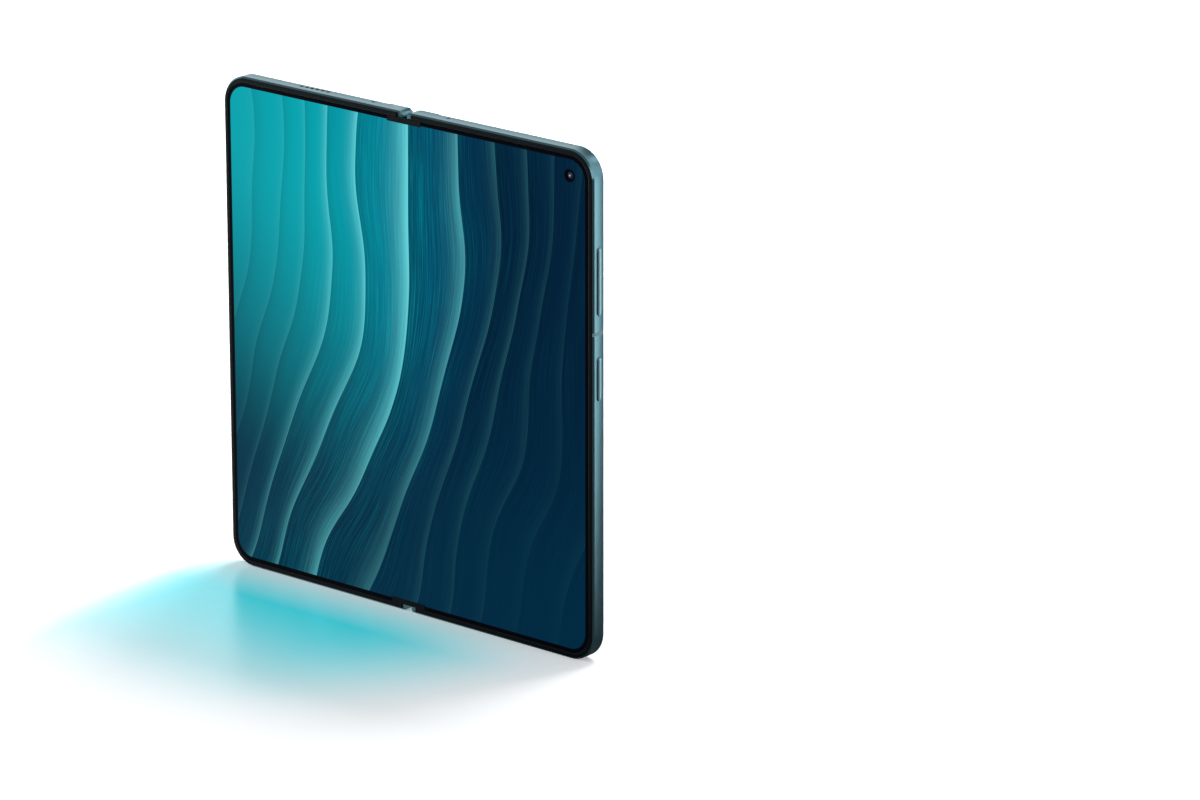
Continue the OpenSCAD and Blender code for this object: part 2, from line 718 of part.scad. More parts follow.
module key_switch_strip() color([0.75, 0.5, 0.2]) right_side() {
    block(switch_x - switch_t - key_flex_t, plate_back, power_at - power_l / 2,
          switch_x - switch_t, key_y + switch_r, volume_at + volume_l / 2);
    for (k = [[volume_at, volume_l], [power_at, power_l]]) for (s = [-1, 1])
        translate([switch_x - switch_t - fit, key_y, k[0] + s * k[1] / 4]) rotate([0, 90, 0])
            cylinder(r = switch_r, h = switch_t + fit);
}

// Inner pieces of the left half

module left_battery() color([0.12, 0.12, 0.14]) left_side() battery_of(low_clear + piece_gap, high_bottom - piece_gap);

module sub_board() color([0.02, 0.18, 0.14]) left_side() difference() {
    block(bay_end + arm_room, plate_back, high_bottom, side_x, plate_back + board_t, high_clear);
    block(cover_cam_x - small_cam[0] / 2 - fit, plate_back - over, body_h - cover_cam_z - small_cam[0] / 2 - fit,
          cover_cam_x + small_cam[0] / 2 + fit, plate_back + board_t + over, far);
}

module sub_board_shield() color("silver") left_side()
    translate([part_x, plate_back + board_t, sub_can_z]) cube([sub_can[0], can_t, sub_can[1]]);

// Open at the wall, where the tray slides in
module card_reader() color("silver") left_side() difference() {
    block(tray_x - reader_wall[0], plate_back + board_t, tray_z - tray_h / 2 - reader_wall[0], side_x + reader_out,
          tray_y + tray_t / 2 + reader_top, tray_z + tray_h / 2 + reader_wall[0]);
    block(tray_x - reader_wall[1], tray_y - tray_t / 2 - key_gap, tray_z - tray_h / 2 - key_gap, far,
          tray_y + tray_t / 2 + key_gap, tray_z + tray_h / 2 + key_gap);
}

module card_tray() color([0.5, 0.7, 0.73]) left_side() difference() {
    union() {
        block(tray_x, tray_y - tray_t / 2, tray_z - tray_h / 2 + tray_t / 2, inner_x,
              tray_y + tray_t / 2, tray_z + tray_h / 2 - tray_t / 2);
        translate([inner_x, tray_y, tray_z]) rotate([0, 90, 0])
            linear_extrude(wall_t - fit) slot2d(tray_h, tray_t);
    }
    block(tray_x + card_set, tray_y - card_floor, tray_z - card[0] / 2,
          tray_x + card_set + card[1], tray_y + tray_t, tray_z + card[0] / 2);
    translate([inner_x - over, tray_y, tray_z - tray_h / 2 + pin_inset]) rotate([0, 90, 0])
        cylinder(r = pin_hole_r, h = wall_t + 2 * over);
}

module top_speaker() color([0.1, 0.1, 0.1]) left_side()
    block(top_speaker_x, plate_back + board_t, high_clear - top_speaker_l, cover_cam_x - small_cam[0] / 2 - piece_gap,
          web_y - back_room[0], high_clear);

// Hinge

module gear2d(phase) {
    circle(gear_root);
    for (i = [0 : gear_teeth - 1]) rotate(phase + i * 360 / gear_teeth) polygon([
        [gear_root * root_sink, -tooth_half - (pitch_r - gear_root) * tooth_slope],
        [gear_tip, -tooth_half + (gear_tip - pitch_r) * tooth_slope],
        [gear_tip, tooth_half - (gear_tip - pitch_r) * tooth_slope],
        [gear_root * root_sink, tooth_half + (pitch_r - gear_root) * tooth_slope]
    ]);
}

// Shaft and gear in one, between the carrier's uprights
module hinge_shafts(phase) {
    for (z = hinge_z) translate([axis_x, axis_y, z]) {
        translate([0, 0, end_play]) cylinder(r = shaft_r, h = module_l - 2 * end_play);
        translate([0, 0, gear_z]) linear_extrude(gear_w) gear2d(phase);
    }
}

module right_hinge_shafts() color("silver") right_side() hinge_shafts(0);
module left_hinge_shafts() color("silver") left_side() hinge_shafts(half_tooth);

module hinge_arms() {
    difference() {
        union() {
            arm_zones(axis_x - barrel_r * barrel_waist, arm_reach, arm_y, plate_back, 0);
            arm_zones(axis_x - barrel_r * barrel_waist, axis_x + barrel_r * barrel_waist, arm_y, axis_y, 0);
            for (z = hinge_z) translate([axis_x, axis_y, z + arm_z]) cylinder(r = barrel_r, h = arm_l);
        }
        for (z = hinge_z) {
            translate([axis_x, axis_y, z]) cylinder(r = shaft_r + run_fit, h = module_l);
            rod(arm_screw_x, z + arm_z + arm_l / 2, screw_r + run_fit, 0, body_t);
            rod(arm_screw_x, z + arm_z + arm_l / 2, screw_head_r + fit, 0, arm_y + screw_head_t);
        }
    }
}

module right_hinge_arms() color([0.7, 0.7, 0.72]) right_side() hinge_arms();
module left_hinge_arms() color([0.7, 0.7, 0.72]) left_side() hinge_arms();

module arm_screws() {
    for (z = hinge_z) {
        rod(arm_screw_x, z + arm_z + arm_l / 2, screw_head_r, arm_y, arm_y + screw_head_t);
        rod(arm_screw_x, z + arm_z + arm_l / 2, screw_r, arm_y, plate_back + screw_l - fit);
    }
}

module right_arm_screws() color("silver") right_side() arm_screws();
module left_arm_screws() color("silver") left_side() arm_screws();

// Two circles about the axes, joined by a flat face at the back
module spine_section(r) {
    for (s = [-1, 1]) translate([s * axis_x, axis_y]) circle(r);
    translate([-axis_x, axis_y - r]) square([2 * axis_x, 2 * r]);
}

module front_cut(y) translate([-far / 2, y - far]) square(far);

module spine_cover() color([0.44, 0.64, 0.67]) right_side() {
    translate([0, 0, spine_z]) linear_extrude(body_h - 2 * spine_z) difference() {
        spine_section(spine_r);
        spine_section(spine_r - spine_shell);
        front_cut(axis_y - spine_lip);
    }
    both_ends() translate([0, 0, spine_z]) linear_extrude(spine_end_t) difference() {
        spine_section(spine_r);
        front_cut(axis_y - spine_lip);
    }
}

module carrier_upright(with_idlers) {
    difference() {
        spine_section(bore_r - fit);
        front_cut(carrier_front);
        for (s = [-1, 1]) {
            translate([s * axis_x, axis_y]) circle(shaft_r + run_fit);
            if (with_idlers) translate([s * idler_x, axis_y]) circle(shaft_r + run_fit);
        }
    }
}

module hinge_carriers() color([0.5, 0.5, 0.52]) right_side() for (z = hinge_z) {
    translate([0, 0, z]) linear_extrude(upright_t) carrier_upright(true);
    translate([0, 0, z + gear_z + gear_w + end_play]) linear_extrude(upright_t) carrier_upright(true);
    translate([0, 0, z + last_z]) linear_extrude(upright_t) carrier_upright(false);
    block(-axis_x, carrier_floor, z, axis_x, axis_y + bore_r - fit, z + module_l);
}

// Each idler turns on the stubs at its ends
module idler_gears(x, phase) {
    for (z = hinge_z) translate([x, axis_y, z]) {
        translate([0, 0, end_play]) cylinder(r = shaft_r, h = 2 * upright_t + gear_w);
        translate([0, 0, gear_z]) linear_extrude(gear_w) gear2d(phase);
    }
}

module right_idler_gears() color("gold") right_side() idler_gears(idler_x, half_tooth);
module left_idler_gears() color("gold") right_side() idler_gears(-idler_x, 0);

module friction_washers() color([0.4, 0.4, 0.42]) right_side()
    for (z = hinge_z) for (s = [-1, 1]) for (i = [0 : washers - 1])
        translate([s * axis_x, axis_y, z + washer_z + i * washer_pitch]) linear_extrude(washer_t)
            difference() {
                circle(barrel_r);
                circle(shaft_r + run_fit);
            }

module fold_cable() color([0.8, 0.5, 0.15]) right_side()
    block(-bay_end - cable_land, plate_back - 2 * cable_t, cable_z, bay_end + cable_land,
          plate_back - cable_t, cable_z + cable_w);

right_frame();
right_mid_plate();
right_screen_panel();
right_rim();
back_panel();
camera_island();
lens_rings();
lens_glasses();
main_camera();
wide_camera();
tele_camera();
flash_window();
inner_camera();
right_battery();
main_board();
main_board_shields();
port_board();
charging_port();
port_tongue();
bottom_speaker();
vibration_motor();
key_switch_strip();
volume_key();
power_key();
right_magnet();
right_screws();
right_antenna_inlays();
right_hinge_shafts();
right_hinge_arms();
right_arm_screws();
spine_cover();
hinge_carriers();
right_idler_gears();
left_idler_gears();
friction_washers();
flexible_screen();
fold_strips();
fold_cable();
left_hinge_shafts();
left_hinge_arms();
left_arm_screws();
left_frame();
left_mid_plate();
left_screen_panel();
left_rim();
cover_glass();
cover_screen_panel();
cover_camera();
left_battery();
sub_board();
sub_board_shield();
card_reader();
card_tray();
top_speaker();
left_magnet();
left_screws();
left_antenna_inlays();
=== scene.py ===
import json
import math
import bmesh
import bpy
import numpy as np
from functools import partial
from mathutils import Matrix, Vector
from mathutils.geometry import delaunay_2d_cdt

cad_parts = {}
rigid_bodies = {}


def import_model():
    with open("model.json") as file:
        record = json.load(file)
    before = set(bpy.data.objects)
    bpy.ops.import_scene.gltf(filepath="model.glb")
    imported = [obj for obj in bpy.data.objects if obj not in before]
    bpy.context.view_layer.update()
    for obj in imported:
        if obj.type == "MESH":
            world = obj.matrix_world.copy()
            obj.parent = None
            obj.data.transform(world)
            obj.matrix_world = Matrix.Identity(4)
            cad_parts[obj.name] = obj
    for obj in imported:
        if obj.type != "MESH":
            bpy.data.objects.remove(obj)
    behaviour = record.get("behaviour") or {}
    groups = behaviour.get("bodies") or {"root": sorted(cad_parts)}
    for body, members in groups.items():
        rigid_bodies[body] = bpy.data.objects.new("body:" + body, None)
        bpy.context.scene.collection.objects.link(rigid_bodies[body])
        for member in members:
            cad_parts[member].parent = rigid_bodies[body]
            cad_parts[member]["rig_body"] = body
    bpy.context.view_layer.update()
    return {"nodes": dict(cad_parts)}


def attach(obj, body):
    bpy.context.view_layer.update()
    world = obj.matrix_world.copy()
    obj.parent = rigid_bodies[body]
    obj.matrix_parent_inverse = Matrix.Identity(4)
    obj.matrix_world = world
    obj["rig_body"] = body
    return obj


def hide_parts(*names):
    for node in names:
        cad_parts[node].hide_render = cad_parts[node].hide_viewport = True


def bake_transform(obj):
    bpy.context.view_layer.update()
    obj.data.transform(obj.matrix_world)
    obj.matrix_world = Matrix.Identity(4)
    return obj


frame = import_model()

mm = 0.001
print("frame loaded,", len(frame["nodes"]), "nodes")

# Sizes in millimetres. Depths count from the plane of the screen's rims, towards the back.
body = dict(halfWidth=71.6, height=153.0, depth=5.2, frontY=-3.55, corner=8.6, axisX=2.475, axisY=2.325)


# mesh tools

def atDepth(d):
    return body["frontY"] + d


def laid(loop, depth):
    # a loop of (x, z) points at one depth
    return np.insert(loop, 1, atDepth(depth), axis=1)


def upright(loop, z):
    # a loop of (x, depth) points at one height
    return np.insert(loop + [0.0, atDepth(0.0)], 2, z, axis=1)


def sideways(loop, x):
    # a loop of (depth, z) points at one x
    return np.insert(loop + [atDepth(0.0), 0.0], 0, x, axis=1)


def gridFaces(rows, cols, closed):
    # quads between neighbouring rows; the columns wrap round when closed
    r = np.arange(rows - 1)[:, None]
    c = np.arange(cols if closed else cols - 1)[None, :]
    n = (c + 1) % cols
    quads = np.stack([r * cols + c, r * cols + n, (r + 1) * cols + n, (r + 1) * cols + c], axis=-1)
    return quads.reshape(-1, 4)


def rings(points, closed=True):
    # points is rows x columns x 3: one row per step of the profile
    rows, cols, _ = points.shape
    return points.reshape(-1, 3), gridFaces(rows, cols, closed).tolist()


def solid(loops):
    # closed loops joined into a tube, with both ends filled
    n, last = len(loops[0]), (len(loops) - 1) * len(loops[0])
    points, faces = rings(np.stack(loops))
    return points, faces + [list(range(n))[::-1], list(range(last, last + n))]


def outline(plan, inset=0.0, steps=14):
    # a rectangle whose corners are quarter circles: centre + radius * (cos, sin), the radius less the inset
    x0, z0, x1, z1, foldRadius, outerRadius = plan
    turn = np.linspace(0, np.pi / 2, steps)
    parts = []
    for x, z, sx, sz, r, start in ((x0, z0, 1, 1, foldRadius, 2), (x1, z0, -1, 1, outerRadius, 3),
                                   (x1, z1, -1, -1, outerRadius, 0), (x0, z1, 1, -1, foldRadius, 1)):
        left = max(r - inset, 0.0)
        a = turn + start * np.pi / 2
        parts.append(np.stack([x + sx * (inset + left) + left * np.cos(a),
                               z + sz * (inset + left) + left * np.sin(a)], axis=-1))
    return np.concatenate(parts)


def circle(x, z, r, steps=64):
    # centre + r * (cos, sin) at even steps
    a = np.arange(steps) * 2 * np.pi / steps
    return np.stack([x + r * np.cos(a), z + r * np.sin(a)], axis=-1)


def stadium(length, width, inset=0.0, steps=12):
    # two half circles joined by straight sides, along the second axis
    r = width / 2 - inset
    a = np.linspace(0, np.pi, steps)
    top = np.stack([r * np.cos(a), (length - width) / 2 + r * np.sin(a)], axis=-1)
    return np.concatenate([top, -top])


def fillet(radius, steps):
    # quarter circle as (inset, drop) pairs: from the side (0, radius) to the flat (radius, 0)
    a = np.linspace(0, np.pi / 2, steps)
    return np.stack([radius * (1 - np.cos(a)), radius * (1 - np.sin(a))], axis=-1)


def cap(loops, depth):
    # fills the flat region between the first loop and the others
    points = np.concatenate(loops)
    edges, start = [], 0
    for loop in loops:
        i = np.arange(len(loop))
        edges += np.stack([start + i, start + (i + 1) % len(loop)], axis=-1).tolist()
        start += len(loop)
    flat, _, faces, _, _, _ = delaunay_2d_cdt([Vector(p) for p in points.tolist()], edges, [], 2, 1e-6)
    flat, faces = np.array([tuple(p) for p in flat]), np.array(faces)
    middle = flat[faces].mean(axis=1)
    for loop in loops[1:]:
        # a triangle whose middle is nearer the hole's centre than its rim is left out
        centre = loop.mean(axis=0)
        radius = np.linalg.norm(loop[0] - centre)
        keep = np.linalg.norm(middle - centre, axis=1) > radius
        middle, faces = middle[keep], faces[keep]
    return laid(flat, depth), faces.tolist()


def together(*parts):
    points, faces, start = [], [], 0
    for p, f in parts:
        points.append(p)
        faces += [[i + start for i in face] for face in f]
        start += len(p)
    return np.concatenate(points), faces


def mirrored(part):
    # x becomes -x, and the order of each face turns with it
    points, faces = part
    return points * np.array([-1.0, 1.0, 1.0]), [f[::-1] for f in faces]


def turned(x, z, profile, steps=64):
    # (radius, depth) pairs turned about an axis along the depth
    return rings(np.stack([laid(circle(x, z, r, steps), d) for r, d in profile]))


def plate(plan, profile, holes=()):
    # the outline carried through (inset, depth) steps; holes are (x, z, [(radius, depth), ...])
    parts = [rings(np.stack([laid(outline(plan, i), d) for i, d in profile]))]
    parts += [turned(*hole) for hole in holes]
    for end in (0, -1):
        inset, depth = profile[end]
        parts.append(cap([outline(plan, inset)] + [circle(x, z, s[end][0]) for x, z, s in holes], depth))
    return together(*parts)


def weld(mesh):
    # joins what touches and turns the faces outwards
    work = bmesh.new()
    work.from_mesh(mesh)
    bmesh.ops.remove_doubles(work, verts=work.verts, dist=2e-7)
    bmesh.ops.dissolve_degenerate(work, edges=work.edges, dist=1e-7)
    bmesh.ops.recalc_face_normals(work, faces=work.faces)
    work.to_mesh(mesh)
    work.free()


def placed(name, data):
    obj = bpy.data.objects.new(name, data)
    bpy.context.scene.collection.objects.link(obj)
    return obj


def surfaced(name, mesh, kind, sharp):
    # kind names a finish; sharp is the angle in degrees from which an edge stays hard
    mesh.materials.append(finish[kind])
    mesh.shade_smooth()
    mesh.set_sharp_from_angle(angle=math.radians(sharp))
    return placed(name, mesh)


def piece(name, part, rides, kind, replaces, sharp=35):
    # the part as an object in metres, on its body and in place of its CAD nodes
    points, faces = part
    mesh = bpy.data.meshes.new(name)
    mesh.from_pydata((points * mm).tolist(), [], faces)
    weld(mesh)
    obj = surfaced(name, mesh, kind, sharp)
    if rides:
        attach(obj, rides)
    if replaces:
        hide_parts(*replaces)
    return obj


# material tools

def feed(value, socket):
    # links an output to the input, or sets a constant on it
    if isinstance(value, bpy.types.NodeSocket):
        socket.id_data.links.new(value, socket)
    else:
        socket.default_value = value


def put(kind, inputs, tree=None, **settings):
    # a node and its outputs; without a tree it goes where its inputs come from
    if tree is None:
        tree = next(v.id_data for v in inputs.values() if isinstance(v, bpy.types.NodeSocket))
    n = tree.nodes.new("ShaderNode" + kind)
    for key, value in settings.items():
        setattr(n, key, value)
    for key, value in inputs.items():
        feed(value, n.inputs[key])
    return n.outputs


def calc(operation, *values):
    return put("Math", dict(enumerate(values)), operation=operation)[0]


plus, minus, times, power, larger, smaller = [
    partial(calc, name) for name in ("ADD", "SUBTRACT", "MULTIPLY", "POWER", "MAXIMUM", "MINIMUM")]


def near(level, signal, reach):
    # the level, give or take the reach
    return plus(level - reach, times(signal, 2 * reach))


def span(value, source, target=(0.0, 1.0), smooth=False):
    # maps one range onto the other and stops at its ends
    ends = {"From Min": source[0], "From Max": source[1], "To Min": target[0], "To Max": target[1]}
    return put("MapRange", {"Value": value, **ends}, clamp=True,
               interpolation_type="SMOOTHSTEP" if smooth else "LINEAR")[0]


def mix(factor, a, b, blend="MIX"):
    return put("Mix", {0: factor, 6: a, 7: b}, data_type="RGBA", blend_type=blend)[2]


def ramp(value, stops, interpolation="LINEAR"):
    n = put("ValToRGB", {"Fac": value})[0].node
    n.color_ramp.interpolation = interpolation
    while len(n.color_ramp.elements) < len(stops):
        n.color_ramp.elements.new(0.5)
    for e, (at, colour) in zip(n.color_ramp.elements, stops):
        e.position = at
        e.color = (*colour[:3], 1)
    return n.outputs["Color"]


def axes(vector):
    return put("SeparateXYZ", {"Vector": vector})


def rgb(red, green, blue):
    return put("CombineColor", {"Red": red, "Green": green, "Blue": blue})[0]


def noise(vector, scale, detail, roughness=0.5, distortion=0.0):
    return put("TexNoise", {"Vector": vector, "Scale": scale, "Detail": detail, "Roughness": roughness,
                            "Distortion": distortion})["Fac"]


def fromCentre(vector, centre):
    # the offset from a centre, flattened along the depth, and its length
    off = put("VectorMath", {0: vector, 1: centre}, operation="SUBTRACT")[0]
    flat = put("VectorMath", {0: off, 1: (1.0, 0.0, 1.0)}, operation="MULTIPLY")[0]
    return flat, put("VectorMath", {0: flat}, operation="LENGTH")["Value"]


def srgb(*levels):
    c = np.array(levels) / 255
    c = np.where(c <= 0.04045, c / 12.92, ((c + 0.055) / 1.055) ** 2.4)
    return (*[float(v) for v in c], 1.0)


def shades(colour, spread):
    # the colour a little darker, and a little lighter
    return [(*[min(c * k, 1) for c in colour[:3]], 1) for k in (1 - spread, 1 + spread)]


def newGroup(name, inputs, outputs):
    # an input with a number takes numbers, one with None takes vectors
    tree = bpy.data.node_groups.new(name, "ShaderNodeTree")
    for label, value in inputs.items():
        kind = "NodeSocketVector" if value is None else "NodeSocketFloat"
        s = tree.interface.new_socket(label, in_out="INPUT", socket_type=kind)
        if value is not None:
            s.default_value = value
    for label, kind in outputs.items():
        tree.interface.new_socket(label, in_out="OUTPUT", socket_type="NodeSocket" + kind)
    return tree, tree.nodes.new("NodeGroupInput").outputs, tree.nodes.new("NodeGroupOutput").inputs


def use(group, **inputs):
    return put("Group", {key.replace("_", " "): value for key, value in inputs.items()}, node_tree=group)


def dress(shader, **inputs):
    for key, value in inputs.items():
        feed(value, shader.inputs[key.replace("_", " ")])


def newMaterial(name, **fixed):
    mat = bpy.data.materials.new(name)
    mat.use_nodes = True
    shader = mat.node_tree.nodes["Principled BSDF"]
    dress(shader, **fixed)
    return mat, shader, put("TexCoord", {}, mat.node_tree)


def bump(height, strength, distance, **start):
    # start may give the Normal to begin from
    return put("Bump", {"Strength": strength, "Distance": distance, "Height": height, **start})["Normal"]


# shared effects

def makeGrain():
    # fine even tooth of a blasted or moulded surface, with slow patches over it
    tree, given, out = newGroup("blastedGrain", {"Vector": None, "Scale": 9000.0, "Patches": 40.0},
                                {"Height": "Float", "Tone": "Float"})
    fine = noise(given["Vector"], given["Scale"], 2.0, 0.6)
    slow = noise(given["Vector"], given["Patches"], 4.0, 0.55)
    feed(fine, out["Height"])
    feed(plus(times(fine, 0.3), times(slow, 0.7)), out["Tone"])
    return tree


def makeChamferShine():
    # one on the narrow faces that lean between the side and the front or back
    tree, given, out = newGroup("chamferShine", {"Normal": None}, {"Mask": "Float"})
    lean = calc("ABSOLUTE", axes(given["Normal"])["Y"])
    feed(times(span(lean, (0.25, 0.5)), span(lean, (0.97, 0.86))), out["Mask"])
    return tree


def makeLitArea():
    # one inside a rectangle with round corners: the distance to it is length(max(|p| - half + r, 0)) - r
    tree, given, out = newGroup("litArea", {"Vector": None, "Half X": 0.07, "Half Z": 0.07, "Centre X": 0.0,
                                            "Centre Z": 0.0765, "Corner": 0.006}, {"Mask": "Float"})
    p = axes(given["Vector"])
    sides = []
    for axis in ("X", "Z"):
        off = calc("ABSOLUTE", minus(p[axis], given["Centre " + axis]))
        sides.append(plus(minus(off, given["Half " + axis]), given["Corner"]))
    outside = calc("SQRT", plus(*[power(larger(s, 0.0), 2.0) for s in sides]))
    distance = minus(plus(outside, smaller(larger(*sides), 0.0)), given["Corner"])
    feed(span(distance, (0.00003, -0.00003)), out["Mask"])
    return tree


silk = dict(
    waves=13.0, swells=5.0, swellBy=0.07, rise=0.7, centreFrom=0.25, centreStep=0.5,
    fade=4.0, shade=0.2, shadeCentre=0.25, slant=0.3, lowFrom=(0.12, 0.01), lowMost=0.97, kept=0.6,
    threads=2400.0, turns=9.0, lipPower=6.0, lipPlain=0.25, lipThreads=1.3,
    threadFrom=0.46, threadPlain=0.03, threadGain=1.7,
    deep=srgb(0, 40, 64), lip=srgb(120, 235, 240), thread=srgb(0, 190, 202),
    tones=[(0.0, srgb(0, 163, 174)), (0.22, srgb(0, 156, 169)), (0.45, srgb(0, 128, 148)),
           (0.66, srgb(0, 70, 100)), (0.84, srgb(0, 42, 72)), (1.0, srgb(0, 29, 55))],
    middle=[(0.0, 0.03), (0.22, 0.08), (0.36, 0.55), (0.5, 1.0), (0.62, 0.6), (0.76, 0.1), (1.0, 0.02)])


def makeSilkArcs():
    # folds of silk: the distance from a far centre, bent by slow noise, is cut into bands that each
    # fade from a bright lip to shade; fine threads follow the bands
    tree, given, out = newGroup("silkArcs", {"Vector": None, "Centre": None, "Start": 0.05, "Reach": 0.15,
                                             "Bend": 0.02, "Bands": 7.0}, {"Color": "Color"})
    flat, far = fromCentre(given["Vector"], given["Centre"])
    bent = plus(far, times(minus(noise(flat, silk["waves"], 1.0, 0.4), 0.5), given["Bend"]))
    along = calc("DIVIDE", minus(bent, given["Start"]), given["Reach"])
    uneven = times(calc("SINE", times(along, silk["swells"])), silk["swellBy"])
    steps = times(plus(along, uneven), given["Bands"])
    part = calc("FRACT", steps)
    level = calc("DIVIDE", plus(calc("FLOOR", steps), times(part, silk["rise"])), given["Bands"])
    middle = ramp(plus(times(along, silk["centreStep"]), silk["centreFrom"]),
                  [(at, (v, v, v)) for at, v in silk["middle"]], "EASE")
    # each fold starts in shade, most of all near the middle of the cloth
    fall = power(minus(1.0, part), silk["fade"])
    shade = minus(1.0, times(fall, plus(silk["shade"], times(middle, silk["shadeCentre"]))))
    lit = mix(1.0, ramp(level, silk["tones"]), rgb(shade, shade, shade), "MULTIPLY")
    # the lower end falls into deep blue; the lips and threads stay lighter there
    place = axes(given["Vector"])
    height = plus(place["Z"], times(place["X"], silk["slant"]))
    low = span(height, silk["lowFrom"], (0.0, silk["lowMost"]), smooth=True)
    lit = mix(low, lit, silk["deep"])
    kept = minus(1.0, times(low, silk["kept"]))
    flatAxes = axes(flat)
    angle = calc("ARCTAN2", flatAxes["Z"], flatAxes["X"])
    around = put("CombineXYZ", {"X": times(angle, silk["turns"]), "Y": times(bent, silk["threads"])})[0]
    threads = noise(around, 1.0, 4.0, 0.7)
    edge = times(power(part, silk["lipPower"]), middle)
    glow = times(edge, plus(silk["lipPlain"], times(threads, silk["lipThreads"])))
    lit = mix(times(smaller(glow, 1.0), kept), lit, silk["lip"])
    thread = times(minus(threads, silk["threadFrom"]), plus(silk["threadPlain"], middle))
    thread = times(thread, silk["threadGain"])
    lit = mix(times(smaller(larger(thread, 0.0), 1.0), kept), lit, silk["thread"])
    feed(lit, out["Color"])
    return tree


def makeLens():
    # small camera under a screen, painted: black well, a painted glint at its centre, a dark coated ring and
    # a thin ring; zero outside its radius
    tree, given, out = newGroup("pinLens", {"Vector": None, "Centre": None, "Radius": 0.0019},
                                {"Mask": "Float", "Color": "Color"})
    part = calc("DIVIDE", fromCentre(given["Vector"], given["Centre"])[1], given["Radius"])
    colour = ramp(part, [(0.0, (0.62, 0.66, 0.72)), (0.13, (0.35, 0.38, 0.45)), (0.2, (0.012, 0.016, 0.035)),
                         (0.4, (0.02, 0.015, 0.045)), (0.48, (0.004, 0.004, 0.006)),
                         (0.72, (0.002, 0.002, 0.003)), (0.8, (0.02, 0.022, 0.026)),
                         (0.88, (0.002, 0.002, 0.003))])
    feed(span(part, (1.02, 0.98)), out["Mask"])
    feed(colour, out["Color"])
    return tree


grain = makeGrain()
chamferShine = makeChamferShine()
litArea = makeLitArea()
silkArcs = makeSilkArcs()
pinLens = makeLens()
print("shared effects made")


# materials

def metal(name, colour, roughness, grainScale=9000.0, tooth=0.25, polish=0.0, spread=0.12, crown=0.0):
    # blasted and anodised; the chamfers are cut afterwards, so they are brighter and smoother.
    # crown curves the sides a little: height = -crown * (distance from the middle of the depth)^2
    mat, shader, where = newMaterial(name, Metallic=1.0)
    g = use(grain, Vector=where["Object"], Scale=grainScale, Patches=35.0)
    shine = use(chamferShine, Normal=where["Normal"])["Mask"]
    tone = mix(g["Tone"], *shades(colour, spread))
    tone = mix(times(shine, polish), tone, shades(colour, 0.2 * polish)[1])
    rough = minus(near(roughness, g["Tone"], 0.06), times(shine, polish * roughness * 0.6))
    start = {}
    if crown:
        off = plus(axes(where["Object"])["Y"], -atDepth(body["depth"] / 2) * mm)
        start["Normal"] = bump(times(times(off, off), -crown), 1.0, 1.0)
    dress(shader, Base_Color=tone, Roughness=rough, Normal=bump(g["Height"], tooth, 0.00002, **start))
    return mat


def moulded(name, colour, roughness, grainScale=6000.0, tooth=0.3, gloss=0.5):
    mat, shader, where = newMaterial(name, Specular_IOR_Level=gloss)
    g = use(grain, Vector=where["Object"], Scale=grainScale, Patches=60.0)
    dress(shader, Base_Color=mix(g["Tone"], *shades(colour, 0.25)),
          Roughness=near(roughness, g["Tone"], 0.08), Normal=bump(g["Height"], tooth, 0.00003))
    return mat


innerArt = dict(gloss=0.03, rough=0.09, smears=0.08, smearScale=60.0,
                area=dict(Half_X=0.0687, Half_Z=0.0734, Centre_X=-0.00025, Corner=0.0057),
                silk=dict(Centre=(-0.3, 0.0, 0.14), Start=0.262, Reach=0.068, Bend=0.03, Bands=5.0),
                pin=dict(Centre=(0.0627, 0.0, 0.1451), Radius=0.00197))
coverArt = dict(gloss=0.06, rough=0.03, smears=0.05, smearScale=45.0, flip=-0.072,
                area=dict(Half_X=0.0328, Half_Z=0.0739, Centre_X=-0.03605, Corner=0.0066),
                silk=dict(Centre=(-0.235, 0.0, 0.14), Start=0.19, Reach=0.06, Bend=0.022, Bands=5.0),
                pin=dict(Centre=(-0.03605, 0.0, 0.1456), Radius=0.0021))


def litScreen(name, art):
    # a glowing design inside black borders, dark where the camera looks through
    mat, shader, where = newMaterial(name, Specular_IOR_Level=art["gloss"], Emission_Strength=1.0)
    at = where["Object"]
    pinhole = use(pinLens, Vector=at, **art["pin"])
    shown = times(use(litArea, Vector=at, **art["area"])["Mask"], minus(1.0, pinhole["Mask"]))
    smear = noise(at, art["smearScale"], 3.0)
    if "flip" in art:
        # seen from behind, so the design is turned round
        at = put("Mapping", {"Vector": at, "Location": (art["flip"], 0, 0), "Scale": (-1, 1, 1)})[0]
    design = use(silkArcs, Vector=at, **art["silk"])["Color"]
    dress(shader, Emission_Color=mix(shown, (0, 0, 0, 1), design),
          Roughness=plus(art["rough"], times(smear, art["smears"])))
    return mat, shader, shown, pinhole


def innerScreen():
    # the panel is darker than its borders
    mat, shader, shown, _ = litScreen("inner_screen_lit", innerArt)
    dress(shader, Base_Color=mix(shown, srgb(9, 11, 18), (0.001, 0.004, 0.006, 1)))
    return mat


def coverScreen():
    mat, shader, _, pinhole = litScreen("cover_screen_lit", coverArt)
    # the punch hole is painted, with a painted glint at its centre
    dress(shader, Base_Color=mix(pinhole["Mask"], srgb(8, 10, 15), pinhole["Color"]))
    return mat


def etchedGlass():
    # matt teal glass: a fine sparkle in the etch over slow changes of tint
    mat, shader, where = newMaterial("etched_back", Coat_Weight=0.25, Coat_Roughness=0.28)
    g = use(grain, Vector=where["Object"], Scale=14000.0, Patches=14.0)
    cells = put("TexVoronoi", {"Vector": where["Object"], "Scale": 8200.0})["Color"]
    spark = times(power(put("SeparateColor", {"Color": cells})[0], 14.0), 0.4)
    tone = mix(spark, mix(g["Tone"], srgb(66, 112, 120), srgb(96, 146, 152)), srgb(190, 222, 226))
    dress(shader, Base_Color=tone, Metallic=spark, Roughness=plus(0.36, times(g["Tone"], 0.1)),
          Normal=bump(g["Height"], 0.35, 0.00001))
    return mat


